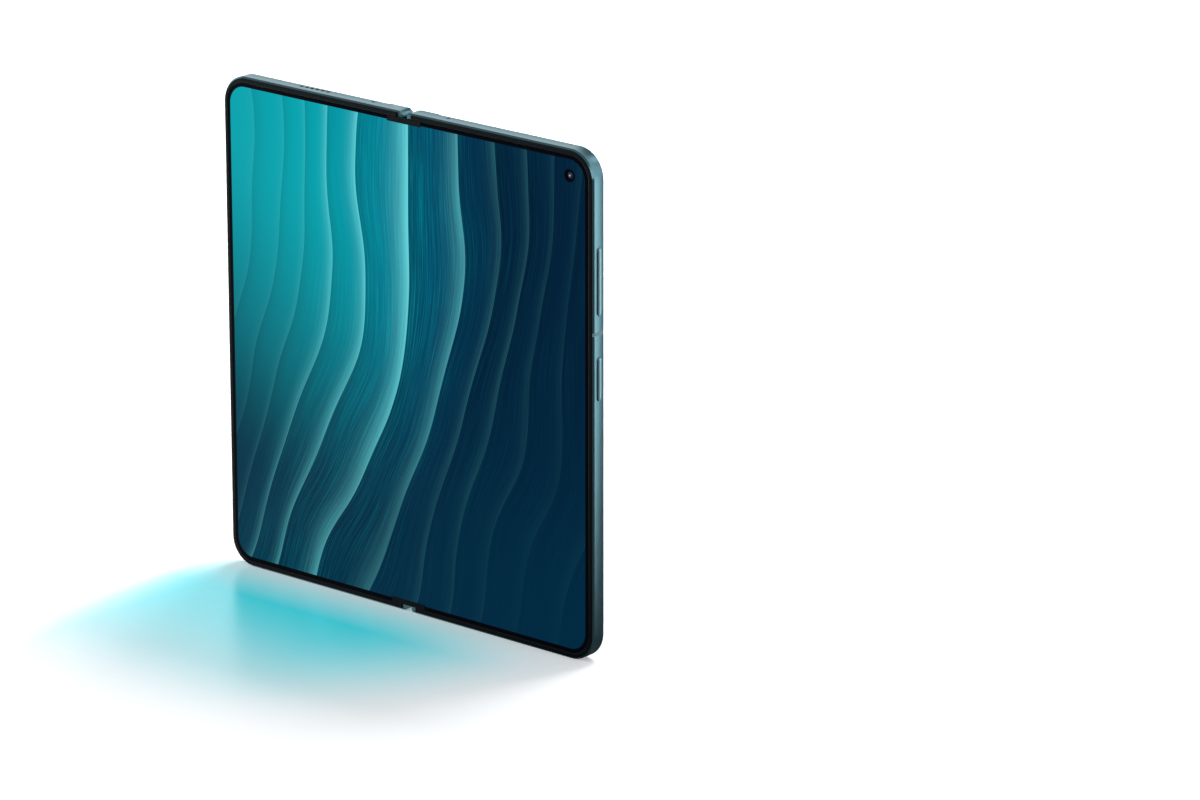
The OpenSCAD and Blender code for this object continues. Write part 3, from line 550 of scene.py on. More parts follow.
spun = dict(x=0.0489, firstZ=0.1026, pitch=0.0164, grooves=52000.0)


def spunMetal():
    # turned rings: grooves at an even step from each lens centre, the three centres a pitch apart
    mat, shader, where = newMaterial("lens_ring_metal", Metallic=1.0)
    p, half = axes(where["Object"]), spun["pitch"] / 2
    up = minus(calc("MODULO", minus(p["Z"], spun["firstZ"] - half), spun["pitch"]), half)
    side = minus(p["X"], spun["x"])
    far = calc("SQRT", plus(power(up, 2.0), power(side, 2.0)))
    groove = calc("SINE", times(far, spun["grooves"]))
    # painted sheen: the colour turns lighter and darker twice round each ring, as light catches turned metal
    around = calc("SINE", times(calc("ARCTAN2", up, side), 2.0))
    dress(shader, Base_Color=mix(plus(0.5, times(around, 0.5)), srgb(122, 160, 166), srgb(190, 216, 219)),
          Roughness=plus(0.2, times(groove, 0.05)), Normal=bump(groove, 0.3, 0.00001))
    return mat


def clearGlass():
    # faint smears; the low IOR keeps what lies below in view
    mat, shader, where = newMaterial("lens_cover_glass", Transmission_Weight=1.0, IOR=1.16)
    film = noise(where["Object"], 90.0, 3.0)
    dress(shader, Base_Color=mix(film, (0.86, 0.92, 0.95, 1), (0.97, 0.99, 1.0, 1)),
          Roughness=times(film, 0.03))
    return mat


def lensBlack(name, level=1.0):
    # blackened metal, a little uneven; level scales its colour and its shine, and a low level gives a darker
    # copy as painted shade in a deep hole
    mat, shader, where = newMaterial(name, Specular_IOR_Level=0.12 * level)
    g = use(grain, Vector=where["Object"], Scale=7000.0, Patches=80.0)
    tones = [(*[c * level for c in tone], 1) for tone in ((0.006, 0.007, 0.009), (0.022, 0.024, 0.03))]
    dress(shader, Base_Color=mix(g["Tone"], *tones), Roughness=plus(0.3, times(g["Tone"], 0.25)),
          Normal=bump(g["Height"], 0.2, 0.00002))
    return mat


def lensWithPaintedReflections(name, glint=None, shine=1.0):
    # the coating's coloured reflections are painted into the base colour, in rings by the slope of the dome;
    # glint is (x, z, radius) of a painted glint
    mat, shader, where = newMaterial(name, Roughness=0.03, Specular_IOR_Level=0.5 * shine, Coat_Weight=shine,
                                     Coat_Roughness=0.01)
    face = calc("ABSOLUTE", axes(where["Normal"])["Y"])
    face = plus(face, times(minus(noise(where["Object"], 900.0, 1.0), 0.5), 0.02))
    colour = ramp(face, [(0.7, (0.004, 0.006, 0.012)), (0.86, (0.05, 0.016, 0.11)),
                         (0.95, (0.02, 0.07, 0.17)), (1.0, (0.03, 0.11, 0.12))])
    if glint:
        # painted glint: a pale spot at the centre of the dome
        x, z, r = (v * mm for v in glint)
        far = fromCentre(where["Object"], (x, 0.0, z))[1]
        colour = mix(span(far, (r, r * 0.6)), colour, (0.75, 0.8, 0.84, 1))
    dress(shader, Base_Color=colour)
    return mat


def flashMaterial():
    mat, shader, where = newMaterial("flash_phosphor", Roughness=0.22, Coat_Weight=0.6, Coat_Roughness=0.08)
    cells = put("TexVoronoi", {"Vector": where["Object"], "Scale": 3800.0})["Distance"]
    dress(shader, Base_Color=mix(cells, srgb(250, 236, 170), srgb(232, 226, 200)))
    return mat


def boardMaterial():
    # solder mask over copper: straight tracks in two directions, with pads where they meet
    mat, shader, where = newMaterial("board_solder_mask", Coat_Weight=0.4, Coat_Roughness=0.2)
    p = axes(where["Object"])
    flat = put("CombineXYZ", {"X": p["X"], "Y": p["Z"]})[0]
    tracks = put("TexBrick", {"Vector": flat, "Scale": 420.0, "Mortar Size": 0.05, "Bias": 0.0,
                              "Brick Width": 0.9, "Row Height": 0.22}, offset=0.37)["Fac"]
    cells = put("TexVoronoi", {"Vector": flat, "Scale": 620.0}, feature="F1")["Distance"]
    pad = span(cells, (0.16, 0.12))
    tone = mix(pad, mix(tracks, srgb(6, 52, 46), srgb(18, 92, 74)), srgb(206, 178, 96))
    dress(shader, Base_Color=tone, Metallic=times(pad, 0.9), Roughness=minus(0.42, times(pad, 0.15)),
          Normal=bump(tracks, 0.3, 0.00003))
    return mat


def foilMaterial():
    # black pouch foil: soft creases from folded noise
    mat, shader, where = newMaterial("battery_pouch")
    fold = calc("ABSOLUTE", minus(noise(where["Object"], 55.0, 5.0, 0.6, 0.6), 0.5))
    dress(shader, Base_Color=mix(times(fold, 3.0), srgb(20, 21, 24), srgb(38, 40, 45)),
          Roughness=plus(0.34, fold), Normal=bump(fold, 0.4, 0.0003))
    return mat


def brushed(name, colour, roughness, stretch=(60.0, 4000.0, 4000.0), spread=0.14):
    # drawn metal: noise stretched along the rolling direction
    mat, shader, where = newMaterial(name, Metallic=1.0)
    long = put("Mapping", {"Vector": where["Object"], "Scale": stretch})[0]
    lines = noise(long, 1.0, 3.0, 0.6)
    dress(shader, Base_Color=mix(lines, *shades(colour, spread)), Roughness=near(roughness, lines, 0.08),
          Normal=bump(lines, 0.15, 0.00002))
    return mat


finish = dict(
    frame=metal("frame_teal_metal", srgb(106, 150, 161), 0.3, polish=1.0, crown=-28.0),
    key=metal("key_teal_metal", srgb(120, 162, 171), 0.28, polish=0.8),
    island=metal("island_teal_metal", srgb(108, 150, 159), 0.3, polish=0.9),
    inlay=moulded("antenna_plastic_teal", srgb(96, 132, 141), 0.42),
    rim=moulded("rim_soft_black", srgb(6, 15, 19), 0.42, grainScale=5000.0, gloss=0.12),
    inner=innerScreen(),
    cover=coverScreen(),
    stack=moulded("screen_laminate", srgb(26, 30, 36), 0.3),
    back=etchedGlass(),
    ring=spunMetal(),
    clear=clearGlass(),
    black=lensBlack("camera_black"),
    # a darker copy of the camera black: painted shade for the deep hole of the inner camera
    pinShadedBlack=lensBlack("pin_camera_black", 0.2),
    coated=lensWithPaintedReflections("coated_element"),
    # the inner camera's lens, with a painted glint at its centre
    pinLens=lensWithPaintedReflections("coated_pin_element", (62.7, 145.1, 0.26), 0.12),
    flash=flashMaterial(),
    board=boardMaterial(),
    foil=foilMaterial(),
    steel=brushed("hinge_steel", srgb(196, 199, 203), 0.3),
    tin=brushed("shield_tin_plate", srgb(206, 206, 204), 0.36, stretch=(1500.0, 1500.0, 90.0)),
    plate=metal("cast_magnesium", srgb(158, 161, 166), 0.48, grainScale=2500.0, tooth=0.5, spread=0.2),
    brass=brushed("sintered_brass", srgb(214, 176, 108), 0.34, stretch=(2600.0, 2600.0, 2600.0)),
    film=moulded("amber_film", srgb(196, 120, 38), 0.35, grainScale=900.0),
    speaker=moulded("speaker_box_black", srgb(26, 27, 30), 0.5),
    cloth=moulded("acoustic_cloth", srgb(6, 8, 10), 0.8, grainScale=16000.0, tooth=0.8, gloss=0.05),
    nickel=brushed("nickel_plate", srgb(205, 203, 198), 0.18, stretch=(900.0, 900.0, 900.0), spread=0.06),
)
# nodes that keep their own shape, by finish
plain = dict(
    frame=["right_frame", "left_frame"],
    inlay=["right_antenna_inlays", "left_antenna_inlays"],
    plate=["right_mid_plate", "left_mid_plate"],
    board=["main_board", "port_board", "sub_board"],
    tin=["main_board_shields", "sub_board_shield", "card_reader"],
    foil=["right_battery", "left_battery"],
    black=["port_tongue", "main_camera", "wide_camera", "tele_camera", "inner_camera", "cover_camera"],
    speaker=["bottom_speaker", "top_speaker"],
    film=["key_switch_strip"],
    nickel=["right_magnet", "left_magnet"],
    brass=["right_idler_gears", "left_idler_gears"],
    key=["card_tray"],
    stack=["cover_screen_panel"],
    steel=["charging_port", "vibration_motor", "right_screws", "left_screws", "right_arm_screws",
           "left_arm_screws", "right_hinge_shafts", "left_hinge_shafts", "right_hinge_arms",
           "left_hinge_arms", "hinge_carriers", "friction_washers"],
)
for kind, names in plain.items():
    for name in names:
        obj = frame["nodes"][name]
        if not obj.material_slots:
            obj.data.materials.append(finish[kind])
        for s in obj.material_slots:
            s.material = finish[kind]
print("materials made:", len(finish))


# frames

frames = dict(rounding=0.04, steps=2, sharp=24, flat=0.4)


def softened(node, kind):
    # the node's own shape with its corners rounded, and smooth round its curves
    source, f = frame["nodes"][node], frames
    mesh = source.data.copy()
    mesh.name = node + "_soft"
    work = bmesh.new()
    work.from_mesh(mesh)
    bmesh.ops.remove_doubles(work, verts=work.verts, dist=1e-7)
    bmesh.ops.dissolve_limit(work, angle_limit=math.radians(f["flat"]), verts=work.verts, edges=work.edges)
    work.to_mesh(mesh)
    work.free()
    mesh.materials.clear()
    obj = surfaced(node + "_soft", mesh, kind, f["sharp"])
    rounding = obj.modifiers.new("rounding", "BEVEL")
    rounding.width = f["rounding"] * mm
    rounding.segments = f["steps"]
    rounding.limit_method = "ANGLE"
    rounding.angle_limit = math.radians(f["sharp"])
    rounding.harden_normals = True
    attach(obj, source["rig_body"])
    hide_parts(node)


for node in ("right_frame", "left_frame"):
    softened(node, "frame")
print("frames rounded")


# cloth behind the speaker slots and the microphone holes

grille = dict(y=3.2, count=6, pitch=2.1, length=1.4, width=1.2, micR=0.55, topX=37.5, lowX=55.725, micX=14.5,
              portX=37.85, portW=9.0, sink=0.1, deep=0.9, clear=0.03)


def clothPart(side, x, length, width, atBottom):
    # a slot's plug, its outer face a little below the frame's
    g = grille
    loop = stadium(length, width, g["clear"], 8)
    section = np.stack([side * (x + loop[:, 1]), g["y"] + loop[:, 0]], axis=-1)
    ends = [z if atBottom else body["height"] - z for z in (g["sink"], g["deep"])]
    return solid([upright(section, z) for z in ends])


def clothSet(side, rowX, rowAtBottom, lowMicX):
    # a row of slots, and a microphone hole at the top and at the bottom
    g = grille
    xs = rowX + (np.arange(g["count"]) - (g["count"] - 1) / 2) * g["pitch"]
    slots = [clothPart(side, x, g["length"], g["width"], rowAtBottom) for x in xs]
    d = 2 * g["micR"]
    return together(*slots, clothPart(side, g["micX"], d, d, False), clothPart(side, lowMicX, d, d, True))


piece("left_slot_cloth", clothSet(-1, grille["topX"], False, grille["portX"]), "left_half",
      "cloth", ())
piece("right_slot_cloth", clothSet(1, grille["lowX"], True, grille["portX"] + grille["portW"]), "right_half",
      "cloth", ())
print("slot cloth set")


# inner screen

screen = dict(top=0.2, back=0.8, side=1.95, flexHalf=6.5, flexBack=0.55, pinX=62.7, pinZ=145.1, pinR=1.9,
              edge=0.06, dip=0.04, bendFrom=0.3, stripTop=0.05, stripGap=0.005, stripW=1.55, cableHalf=8.0,
              cableDepths=(0.95, 1.1), cableZ=(84.775, 96.775))


def panelPart(pin):
    # half of the screen: a plate with bevelled edges, and a round hole where pin is set
    s, e, r = screen, screen["edge"], screen["pinR"]
    side, top, back = s["side"], s["top"], s["back"]
    plan = (s["flexHalf"], side, body["halfWidth"] - side, body["height"] - side, 0.0, body["corner"] - side)
    profile = [(e + 0.1, top), (e, top), (0, top + e), (0, back - e), (e, back)]
    hole = (s["pinX"], s["pinZ"], [(r + e, top), (r, top + e), (r, back)])
    return plate(plan, profile, [hole] if pin else [])


piece("right_screen", panelPart(True), "right_half", "inner", ["right_screen_panel"])
piece("left_screen", mirrored(panelPart(False)), "left_half", "inner", ["left_screen_panel"])


def flexPart(x1, front, back, z0, z1, columns=32, dip=0.0):
    # a thin sheet from the middle line across the fold; its face dips by dip * cos^2 towards that line
    x = np.linspace(0.0, x1, columns)[:, None]
    sag = dip * np.cos(np.clip(x / screen["flexHalf"], 0, 1) * np.pi / 2) ** 2
    depth = np.where([False, True, True, False], back, front + sag)
    points, faces = rings(np.stack(np.broadcast_arrays(x, atDepth(depth), [z0, z0, z1, z1]), axis=-1))
    return points, faces + [[0, 1, 2, 3], [(columns - 1) * 4 + i for i in (3, 2, 1, 0)]]


def flexParts():
    # each with its finish and slot
    s = screen
    low, high = s["side"], body["height"] - s["side"]
    sheet = flexPart(s["flexHalf"], s["top"], s["flexBack"], low, high, 48, s["dip"])
    strips = together(*[flexPart(s["flexHalf"], s["stripTop"], s["top"] - s["stripGap"], z, z + s["stripW"])
                        for z in (low, high - s["stripW"])])
    cable = flexPart(s["cableHalf"], *s["cableDepths"], *s["cableZ"])
    return (("flexible_screen", sheet, "inner", "inner_screen"), ("fold_strips", strips, "rim", "rim_black"),
            ("fold_cable", cable, "film", "polyimide"))


for half, sign in (("right_half", 1), ("left_half", -1)):
    for node, part, kind, slot in flexParts():
        if sign < 0:
            part = mirrored(part)
        obj = piece(half.replace("half", node), part, None, kind, [node])
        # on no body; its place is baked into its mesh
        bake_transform(obj)
print("inner screen laid")


# rims

rims = dict(start=2.775, inset=0.48, depth=0.5, straight=12, corner=22,
            across=np.array([0.0, 0.0, 0.04, 0.14, 0.34, 0.71, 1.08, 1.28, 1.38, 1.42, 1.42]),
            lift=np.array([1.0, 0.34, 0.16, 0.06, 0.02, 0.0, 0.02, 0.06, 0.16, 0.34, 1.0]))


def rimPart():
    # section of a soft bead carried along the bottom, round the outer corners and back along the top
    r, straight = rims, rims["straight"]
    w, h, c = body["halfWidth"], body["height"], body["corner"]
    turn = np.linspace(0, np.pi / 2, r["corner"])[1:]
    xs = np.concatenate([np.linspace(r["start"], w - c, straight), w - c + c * np.sin(turn)])
    zs = np.concatenate([np.zeros(straight), c - c * np.cos(turn)])
    nx = np.concatenate([np.zeros(straight), -np.sin(turn)])
    nz = np.concatenate([np.ones(straight), np.cos(turn)])
    xs, nx = (np.concatenate([v, v[::-1]])[:, None] for v in (xs, nx))
    zs, nz = np.concatenate([zs, (h - zs)[::-1]])[:, None], np.concatenate([nz, -nz[::-1]])[:, None]
    inset = r["inset"] + r["across"]
    rows = np.broadcast_arrays(xs + nx * inset, atDepth(r["lift"] * r["depth"]), zs + nz * inset)
    points, faces = rings(np.stack(rows, axis=-1), closed=False)
    n, k = rows[0].shape
    back = [[i * k, (i + 1) * k, (i + 2) * k - 1, (i + 1) * k - 1] for i in range(n - 1)]
    return points, faces + back + [list(range(k)), list(range((n - 1) * k, n * k))[::-1]]


piece("right_rim_bead", rimPart(), "right_half", "rim", ["right_rim"], sharp=50)
piece("left_rim_bead", mirrored(rimPart()), "left_half", "rim", ["left_rim"], sharp=50)
print("rims laid")


# backs

backs = dict(x0=1.3, x1=70.8, z0=0.8, foldRadius=8.2, outerRadius=7.8, fit=0.05, face=5.2, base=4.7,
             edge=0.34, coverBase=4.9, coverEdge=0.24, lensX=48.9, lensZ=(102.6, 119.0, 135.4),
             lensHole=5.05, flashX=61.2, flashZ=127.2, flashHole=1.65)


def backPlan():
    b = backs
    return (b["x0"] + b["fit"], b["z0"] + b["fit"], b["x1"] - b["fit"], body["height"] - b["z0"] - b["fit"],
            b["foldRadius"] - b["fit"], b["outerRadius"] - b["fit"])


def curvedEdge(base, radius):
    # base, side, quarter circle up to the face, and a narrow flat so that the face stays flat
    face, arc = backs["face"], fillet(radius, 7)
    return [(0.06, base), (0.0, base + 0.03)] + [(i, face - d) for i, d in arc] + [(radius + 0.15, face)]


def rearHoles(lens, flash):
    # the openings of the three lenses and of the flash, by their (radius, depth) steps
    b = backs
    return [(b["lensX"], z, lens) for z in b["lensZ"]] + [(b["flashX"], b["flashZ"], flash)]


def backPart():
    # a plate with a curved edge and round openings for the lenses and the flash
    b = backs
    holes = [[(r, b["base"]), (r, b["face"])] for r in (b["lensHole"], b["flashHole"])]
    return plate(backPlan(), curvedEdge(b["base"], b["edge"]), rearHoles(*holes))


piece("back_glass_panel", backPart(), "right_half", "back", ["back_panel"])
cover = plate(backPlan(), curvedEdge(backs["coverBase"], backs["coverEdge"]))
piece("cover_glass_panel", mirrored(cover), "left_half", "cover", ["cover_glass"])
print("backs laid")


# rear cameras

island = dict(x=52.1, z=119.0, width=25.0, height=54.0, radius=10.5, top=6.7, edge=0.7, ringR=6.6,
              ringHole=5.0, ringTop=7.1, ringBase=6.2, ringGap=0.05, glassR=4.95, glassTop=7.0,
              glassBack=6.5, glassEdge=0.08, barrelR=4.9, barrelTop=6.44, barrelBack=5.3,
              mouths=(2.5, 3.0, 2.1), domeRise=0.35, domeBase=5.45, domeThick=0.3)
flash = dict(r=1.6, back=3.5, lensR=1.55, top=6.5, steps=25, grooves=(0.0, 0.07, 0.035), middle=0.05)


def islandPart():
    # a plate on the back glass: quarter circle at its edge, stepped lens seats and a window
    i, b = island, backs
    w, h, r = i["width"] / 2, i["height"] / 2, i["radius"]
    base, top, low, wall = b["face"], i["top"], i["ringBase"], i["ringR"] + i["ringGap"]
    arc = fillet(i["edge"], 8)
    profile = [(0.08, base), (0.0, base + 0.06)] + [(a, top - d) for a, d in arc] + [(i["edge"] + 0.1, top)]
    lens = [(b["lensHole"], base), (b["lensHole"], low), (wall, low), (wall, top - 0.04), (wall + 0.05, top)]
    window = [(b["flashHole"], base), (b["flashHole"], top - 0.08), (b["flashHole"] + 0.09, top)]
    return plate((i["x"] - w, i["z"] - h, i["x"] + w, i["z"] + h, r, r), profile, rearHoles(lens, window))


def ringPart(z):
    # a washer with a rounded shoulder and a bevel down to its hole, turned about the lens axis
    i = island
    r, hole, top, base = i["ringR"], i["ringHole"], i["ringTop"], i["ringBase"]
    return turned(backs["lensX"], z, [
        (hole, base), (r, base), (r, top - 0.22), (r - 0.05, top - 0.12), (r - 0.2, top - 0.01),
        (r - 0.3, top), (hole + 0.5, top), (hole + 0.42, top - 0.02), (hole + 0.06, top - 0.3),
        (hole, top - 0.36), (hole, base)], 96)


def glassPart(z):
    # a disc with a small bevel, turned about the lens axis
    i = island
    r, top, back, e = i["glassR"], i["glassTop"], i["glassBack"], i["glassEdge"]
    return turned(backs["lensX"], z, [
        (0.0, back), (r - e, back), (r, back + e), (r, top - e), (r - e * 0.3, top - e * 0.3), (r - e, top),
        (r - e - 0.1, top), (0.0, top)], 72)


def barrelPart(z, m):
    # stepped light trap below the cover glass: rings fall from the wall to the mouth of radius m
    r, top, back = island["barrelR"], island["barrelTop"], island["barrelBack"]
    return turned(backs["lensX"], z, [
        (r, top), (r - 0.35, top), (r - 0.4, top - 0.08), (r - 0.4, top - 0.24), (m + 1.0, top - 0.24),
        (m + 0.95, top - 0.32), (m + 0.95, top - 0.44), (m + 0.45, top - 0.44), (m + 0.4, top - 0.5),
        (m + 0.4, top - 0.64), (m, top - 0.64), (m - 0.05, top - 0.7), (m - 0.05, back), (r, back),
        (r, top)], 72)


def domePart(x, z, r, rise, base, thick, rows, steps):
    # shallow cap: depth = base + rise * (1 - (radius / r)^2), towards the front where rise is negative
    dome = [(r * v, base + rise * (1 - v * v)) for v in np.linspace(1, 0, rows)]
    return turned(x, z, [(0.0, base - thick), (r, base - thick)] + dome, steps)


def elementPart(z, m):
    # a cap a little smaller than the mouth of radius m
    i = island
    return domePart(backs["lensX"], z, m - 0.05, i["domeRise"], i["domeBase"], i["domeThick"], 14, 56)


def flashPart():
    # stepped rings like a moulded flash lens
    f = flash
    lift = np.resize(f["grooves"], f["steps"])
    lift[-1] = f["middle"]
    lens = zip(np.linspace(f["lensR"], 0.0, f["steps"]), f["top"] + lift)
    side = [(0.0, f["back"]), (f["r"], f["back"]), (f["r"], f["top"])]
    return turned(backs["flashX"], backs["flashZ"], side + list(lens), 56)


def eachLens(make, *given):
    return together(*[make(*values) for values in zip(backs["lensZ"], *given)])


mouths = island["mouths"]
piece("camera_island_plate", islandPart(), "right_half", "island", ["camera_island"])
piece("lens_ring_set", eachLens(ringPart), "right_half", "ring", ["lens_rings"])
piece("lens_glass_set", eachLens(glassPart), "right_half", "clear", ["lens_glasses"])
piece("lens_light_traps", eachLens(barrelPart, mouths), "right_half", "black", ())
piece("front_elements", eachLens(elementPart, mouths), "right_half", "coated", ())
piece("flash_lens", flashPart(), "right_half", "flash", ["flash_window"])
print("rear cameras set")


# inner camera

pin = dict(r=1.85, top=0.25, back=2.25, half=2.8, bodyTop=1.25, bodyBack=3.65, corner=0.5, edge=0.08,
           lensR=0.96, lensBase=0.6, lensRise=-0.3, lensThick=-0.2)


def pinCameraPart():
    # black well with steps under the screen's hole, over a square body with rounded edges
    p = pin
    x, z, r, top, half = screen["pinX"], screen["pinZ"], p["r"], p["top"], p["half"]
    front, back, e, cut = p["bodyTop"], p["bodyBack"], p["edge"], p["edge"] * 0.3
    well = turned(x, z, [
        (0.0, p["back"]), (r, p["back"]), (r, top + 0.04), (r - 0.04, top), (r - 0.4, top),
        (r - 0.45, top + 0.05), (r - 0.45, top + 0.18), (r - 0.85, top + 0.22), (r - 0.9, top + 0.4),
        (0.0, top + 0.4)], 56)
    box = plate((x - half, z - half, x + half, z + half, p["corner"], p["corner"]), [
        (e + 0.05, front), (e, front), (cut, front + cut), (0, front + e), (0, back - e), (cut, back - cut),
        (e, back), (e + 0.05, back)])
    return together(well, box)


piece("inner_camera_well", pinCameraPart(), "right_half", "pinShadedBlack", ["inner_camera"])
pinDome = domePart(screen["pinX"], screen["pinZ"], pin["lensR"], pin["lensRise"], pin["lensBase"],
                   pin["lensThick"], 12, 48)
piece("inner_camera_lens", pinDome, "right_half", "pinLens", ())
print("inner camera set")


# keys

# volume and power: the height of the middle, and the length
keys = dict(volume=(115.0, 20.0), power=(86.0, 13.0), y=2.6, width=1.64, lift=0.3, foot=0.4, inner=69.7,
            edge=0.2, crown=0.05, collar=-0.25, collarEnd=-0.7, gap=0.025, nubR=0.5, nubL=0.35)


def keyPart(at, length):
    # a stadium round the height at, carried outwards along x, with two round stems behind it
    k = keys
    out = body["halfWidth"] + k["lift"]
    foot, inner, shoulder = k["inner"] - k["foot"], k["inner"] - k["gap"], out - k["crown"]
    # (inset of the sides, x, inset of the ends), from the collar inside the frame to the face
    steps = [(k["collar"], foot, k["collarEnd"]), (k["collar"], inner, k["collarEnd"]), (0.0, inner, 0.0),
             (0.0, shoulder - k["edge"], 0.0)]
    steps += [(i, shoulder - d, i) for i, d in fillet(k["edge"], 6)[1:]]
    steps += [(0.45, out - 0.02, 0.45), (0.65, out, 0.65)]
    rows = [sideways(stadium(length - 2 * (end - inset), k["width"], inset) + [k["y"], at], x)
            for inset, x, end in steps]
    nubs = [solid([sideways(circle(k["y"], z, k["nubR"], 24), x) for x in (foot - k["nubL"], foot + 0.01)])
            for z in (at - length / 4, at + length / 4)]
    return together(solid(rows), *nubs)


for node, place in (("volume_key", keys["volume"]), ("power_key", keys["power"])):
    piece(node + "_cap", keyPart(*place), node, "key", [node])
print("keys set")


# spine cover

spine = dict(r=1.975, shell=0.4, lip=0.2, z=2.4, endT=0.8, endRound=0.35, steps=20, flatSteps=9)


def spineSection(r):
    # from the right lip round the back to the left one: quarter turn, flat, quarter turn
    s = spine
    a = np.linspace(-math.asin(min(s["lip"] / r, 1.0)), np.pi / 2, s["steps"])
    right = np.stack([body["axisX"] + r * np.cos(a), body["axisY"] + r * np.sin(a)], axis=-1)
    flat = np.linspace(body["axisX"], -body["axisX"], s["flatSteps"])[1:-1]
    middle = np.stack([flat, np.full(len(flat), body["axisY"] + r)], axis=-1)
    return np.concatenate([right, middle, right[::-1] * [-1.0, 1.0]])


def spinePart():
    # the outer skin shrinks towards each end along a quarter circle; the inner skin stops at the end plates
    s, h = spine, body["height"]
    turn = fillet(s["endRound"], 6)
    places = [(i, s["z"] + d) for i, d in turn[::-1]] + [(i, h - s["z"] - d) for i, d in turn]
    outer = np.stack([upright(spineSection(s["r"] - shrink), z) for shrink, z in places])
    inner = np.stack([upright(spineSection(s["r"] - s["shell"]), z)
                      for z in (h - s["z"] - s["endT"], s["z"] + s["endT"])])
    rows, n, _ = outer.shape
    base = rows * n
    points, faces = together(rings(outer, closed=False), rings(inner, closed=False))
    # the lips join the long edges of the two skins, and the ends are plates
    lips = [[edge + r * n for r in range(rows)] + [base + edge, base + n + edge] for edge in (0, n - 1)]
    ends = [list(range(n))[::-1], list(range(base - n, base)), list(range(base, base + n))[::-1],
            list(range(base + n, base + 2 * n))]
    return points, faces + lips + ends


piece("spine_shell", spinePart(), "hinge_spine", "frame", ["spine_cover"])
print("spine set")


# floor, light and camera

studio = dict(
    floorHalf=4.0, white=(0.97, 0.985, 1.0, 1.0), grey=(0.86, 0.87, 0.88),
    # a pair runs from its first to its second value over the range that has From in its name.
    # the floor gives off light of its own, less of it near the phone as painted shade round it
    glow=(0.32, 0.7), glowFrom=(0.12, 0.5),
    # reflections: the floor seen in reflections carries painted shade, falling away along darkEnd and close
    # to the phone; the walls are white and the ceiling is dark
    darkEnd=(0.66, -0.75, 0.0), fall=(1.0, 0.09), fallFrom=(-0.008, 0.042), close=(0.68, 0.93),
    closeFrom=(0.05, 0.3), wall=(1.0, 0.22), wallFrom=(0.36, 0.66), roomGlow=0.34,
    # the screen's painted glow on the floor: its place, how it fades, what it takes away and what it adds
    litX=-0.036, litHalf=0.028, left=(5.0, 1.4), leftFrom=(-0.06, -0.04), fadeFrom=(0.012, 0.115),
    frontFrom=(0.002, -0.024), taken=(0.93, 0.12, 0.06), paintedGlow=(0.0, 0.13, 0.16, 1.0), satin=0.26, gloss=0.3)
view = dict(azimuth=41.85, elevation=17.22, distance=1.7586, yaw=39.99, pitch=17.57, lens=180.0, aimZ=0.076)


def emptied(data):
    # a cleared node tree, its camera rays, and its reflected or refracted rays
    data.use_nodes = True
    tree = data.node_tree
    tree.nodes.clear()
    path = put("LightPath", {}, tree)
    return tree, path["Is Camera Ray"], larger(path["Is Glossy Ray"], path["Is Transmission Ray"])


def makeFloor():
    f, w = studio, studio["floorHalf"]
    mesh = bpy.data.meshes.new("floor")
    mesh.from_pydata([(-w, -w, 0), (w, -w, 0), (w, w, 0), (-w, w, 0)], [], [(0, 1, 2, 3)])
    obj = placed("floor", mesh)
    mat = bpy.data.materials.new("pale_floor")
    tree, direct, reflected = emptied(mat)
    where = put("TexCoord", {}, tree)["Object"]
    far = put("VectorMath", {0: where}, operation="LENGTH")["Value"]
    # painted shade in reflections only: the floor darkens along darkEnd and close to the phone
    toDark = put("VectorMath", {0: where, 1: f["darkEnd"]}, operation="DOT_PRODUCT")["Value"]
    reflectedShade = times(span(toDark, f["fallFrom"], f["fall"]), span(far, f["closeFrom"], f["close"]))
    level = plus(times(reflected, reflectedShade), minus(1.0, reflected))
    seen = times(larger(direct, reflected), level)
    # a painted glow of the lit screen on the floor, seen by the camera only, fading with the distance from
    # its lower edge
    side = axes(where)
    across = calc("ABSOLUTE", minus(side["X"], f["litX"]))
    beyond = times(larger(minus(across, f["litHalf"]), 0.0), span(side["X"], f["leftFrom"], f["left"]))
    off = calc("SQRT", plus(times(beyond, beyond), times(side["Y"], side["Y"])))
    fade = span(off, f["fadeFrom"], (1.0, 0.0), smooth=True)
    lit = times(direct, times(fade, span(side["Y"], f["frontFrom"])))
    tint = rgb(*[minus(1.0, times(lit, share)) for share in f["taken"]])
    grey = rgb(*[times(level, share) for share in f["grey"]])
    diffuse = put("BsdfDiffuse", {"Color": mix(1.0, grey, tint, "MULTIPLY")})[0]
    # the floor's own glow is weaker near the phone: painted shade round it
    shine = put("Emission", {"Color": mix(1.0, tint, f["white"], "MULTIPLY"),
                             "Strength": times(seen, span(far, f["glowFrom"], f["glow"]))})[0]
    paintedGlow = put("Emission", {"Color": f["paintedGlow"], "Strength": lit})[0]
    matt = put("AddShader", {0: put("AddShader", {0: diffuse, 1: shine})[0], 1: paintedGlow})[0]
    satin = put("BsdfAnisotropic", {"Color": f["white"], "Roughness": f["satin"]}, tree)[0]
    both = put("MixShader", {0: times(lit, f["gloss"]), 1: matt, 2: satin})[0]
    put("OutputMaterial", {"Surface": both})
    mesh.materials.append(mat)


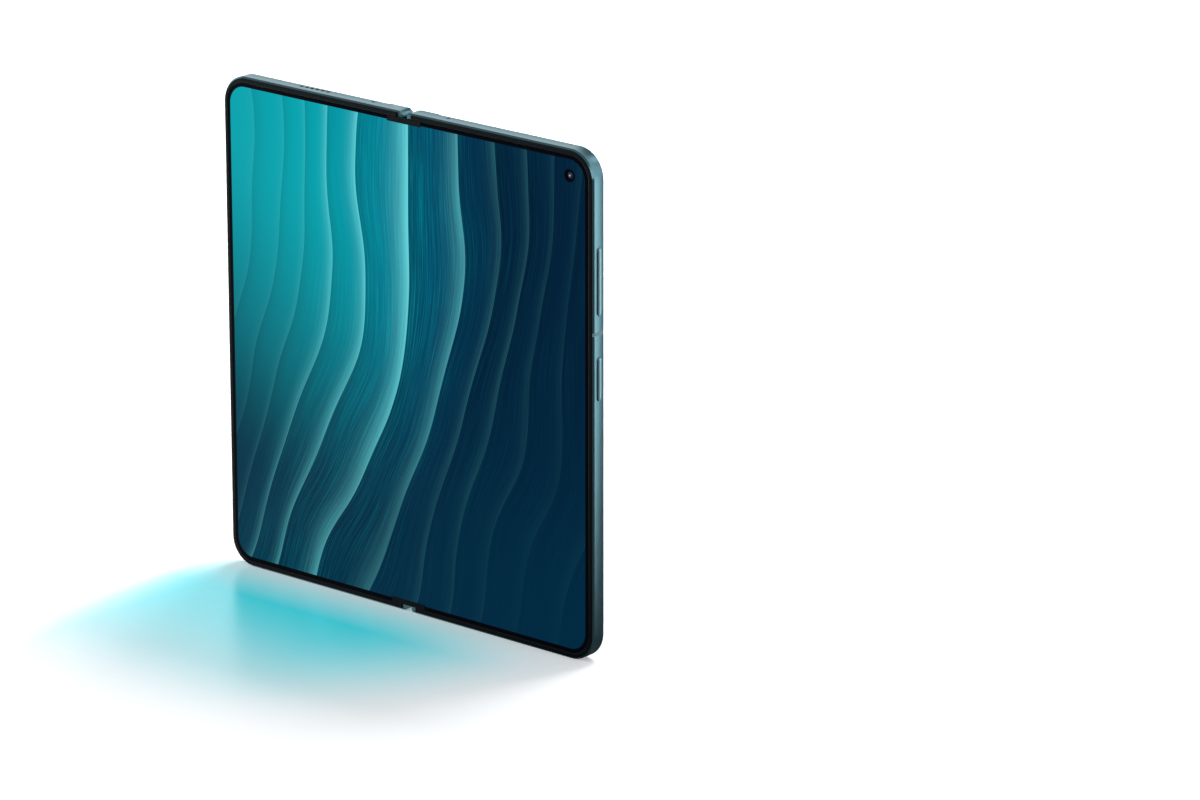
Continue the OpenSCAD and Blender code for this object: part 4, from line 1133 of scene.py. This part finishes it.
def makeWorld():
    f = studio
    world = bpy.data.worlds.new("studio")
    bpy.context.scene.world = world
    tree, direct, reflected = emptied(world)
    up = axes(put("TexCoord", {}, tree)["Generated"])["Z"]
    seen = larger(direct, times(reflected, span(up, f["wallFrom"], f["wall"])))
    room = times(minus(1.0, larger(direct, reflected)), f["roomGlow"])
    back = put("Background", {"Color": f["white"], "Strength": plus(seen, room)})[0]
    put("OutputWorld", {"Surface": back})


lamps = [
    dict(name="back_light", place=(-0.05, 0.95, 1.45), target=(0, 0, 0.05), size=(0.9, 0.7), watts=26.0),
    dict(name="edge_light", place=(0.55, 0.95, 1.1), target=(0.03, 0, 0.12), size=(0.5, 0.3), watts=0.9,
         inReflections=True),
    dict(name="front_light", place=(-0.9, -1.2, 1.3), target=(0, 0, 0.06), size=(0.7, 0.7), watts=7.0),
    dict(name="side_light", place=(1.6, 0.1, 0.7), target=(0, 0, 0.08), size=(0.5, 1.1), watts=6.0,
         colour=(0.94, 0.98, 1.0)),
]


def softLamp(name, place, target, size, watts, colour=(1, 1, 1), inReflections=False):
    data = bpy.data.lights.new(name, "AREA")
    data.shape = "RECTANGLE"
    data.size, data.size_y = size
    data.energy = watts
    data.color = colour
    obj = placed(name, data)
    obj.location = place
    obj.rotation_euler = (Vector(target) - Vector(place)).to_track_quat("-Z", "Y").to_euler()
    obj.visible_glossy = inReflections


def makeCamera():
    # on a sphere of radius distance round (0, 0, aimZ), with its own yaw and pitch
    v = view
    a, e = math.radians(v["azimuth"]), math.radians(v["elevation"])
    data = bpy.data.cameras.new("camera")
    data.lens = v["lens"]
    data.sensor_width = 36.0
    data.clip_start, data.clip_end = 0.01, 50.0
    obj = placed("camera", data)
    obj.location = (math.sin(a) * math.cos(e) * v["distance"], -math.cos(a) * math.cos(e) * v["distance"],
                    math.sin(e) * v["distance"] + v["aimZ"])
    obj.rotation_euler = (math.pi / 2 - math.radians(v["pitch"]), 0.0, math.radians(v["yaw"]))
    bpy.context.scene.camera = obj


makeFloor()
makeWorld()
for lamp in lamps:
    softLamp(**lamp)
makeCamera()
bpy.context.scene.view_settings.view_transform = "Standard"

print("scene ready")
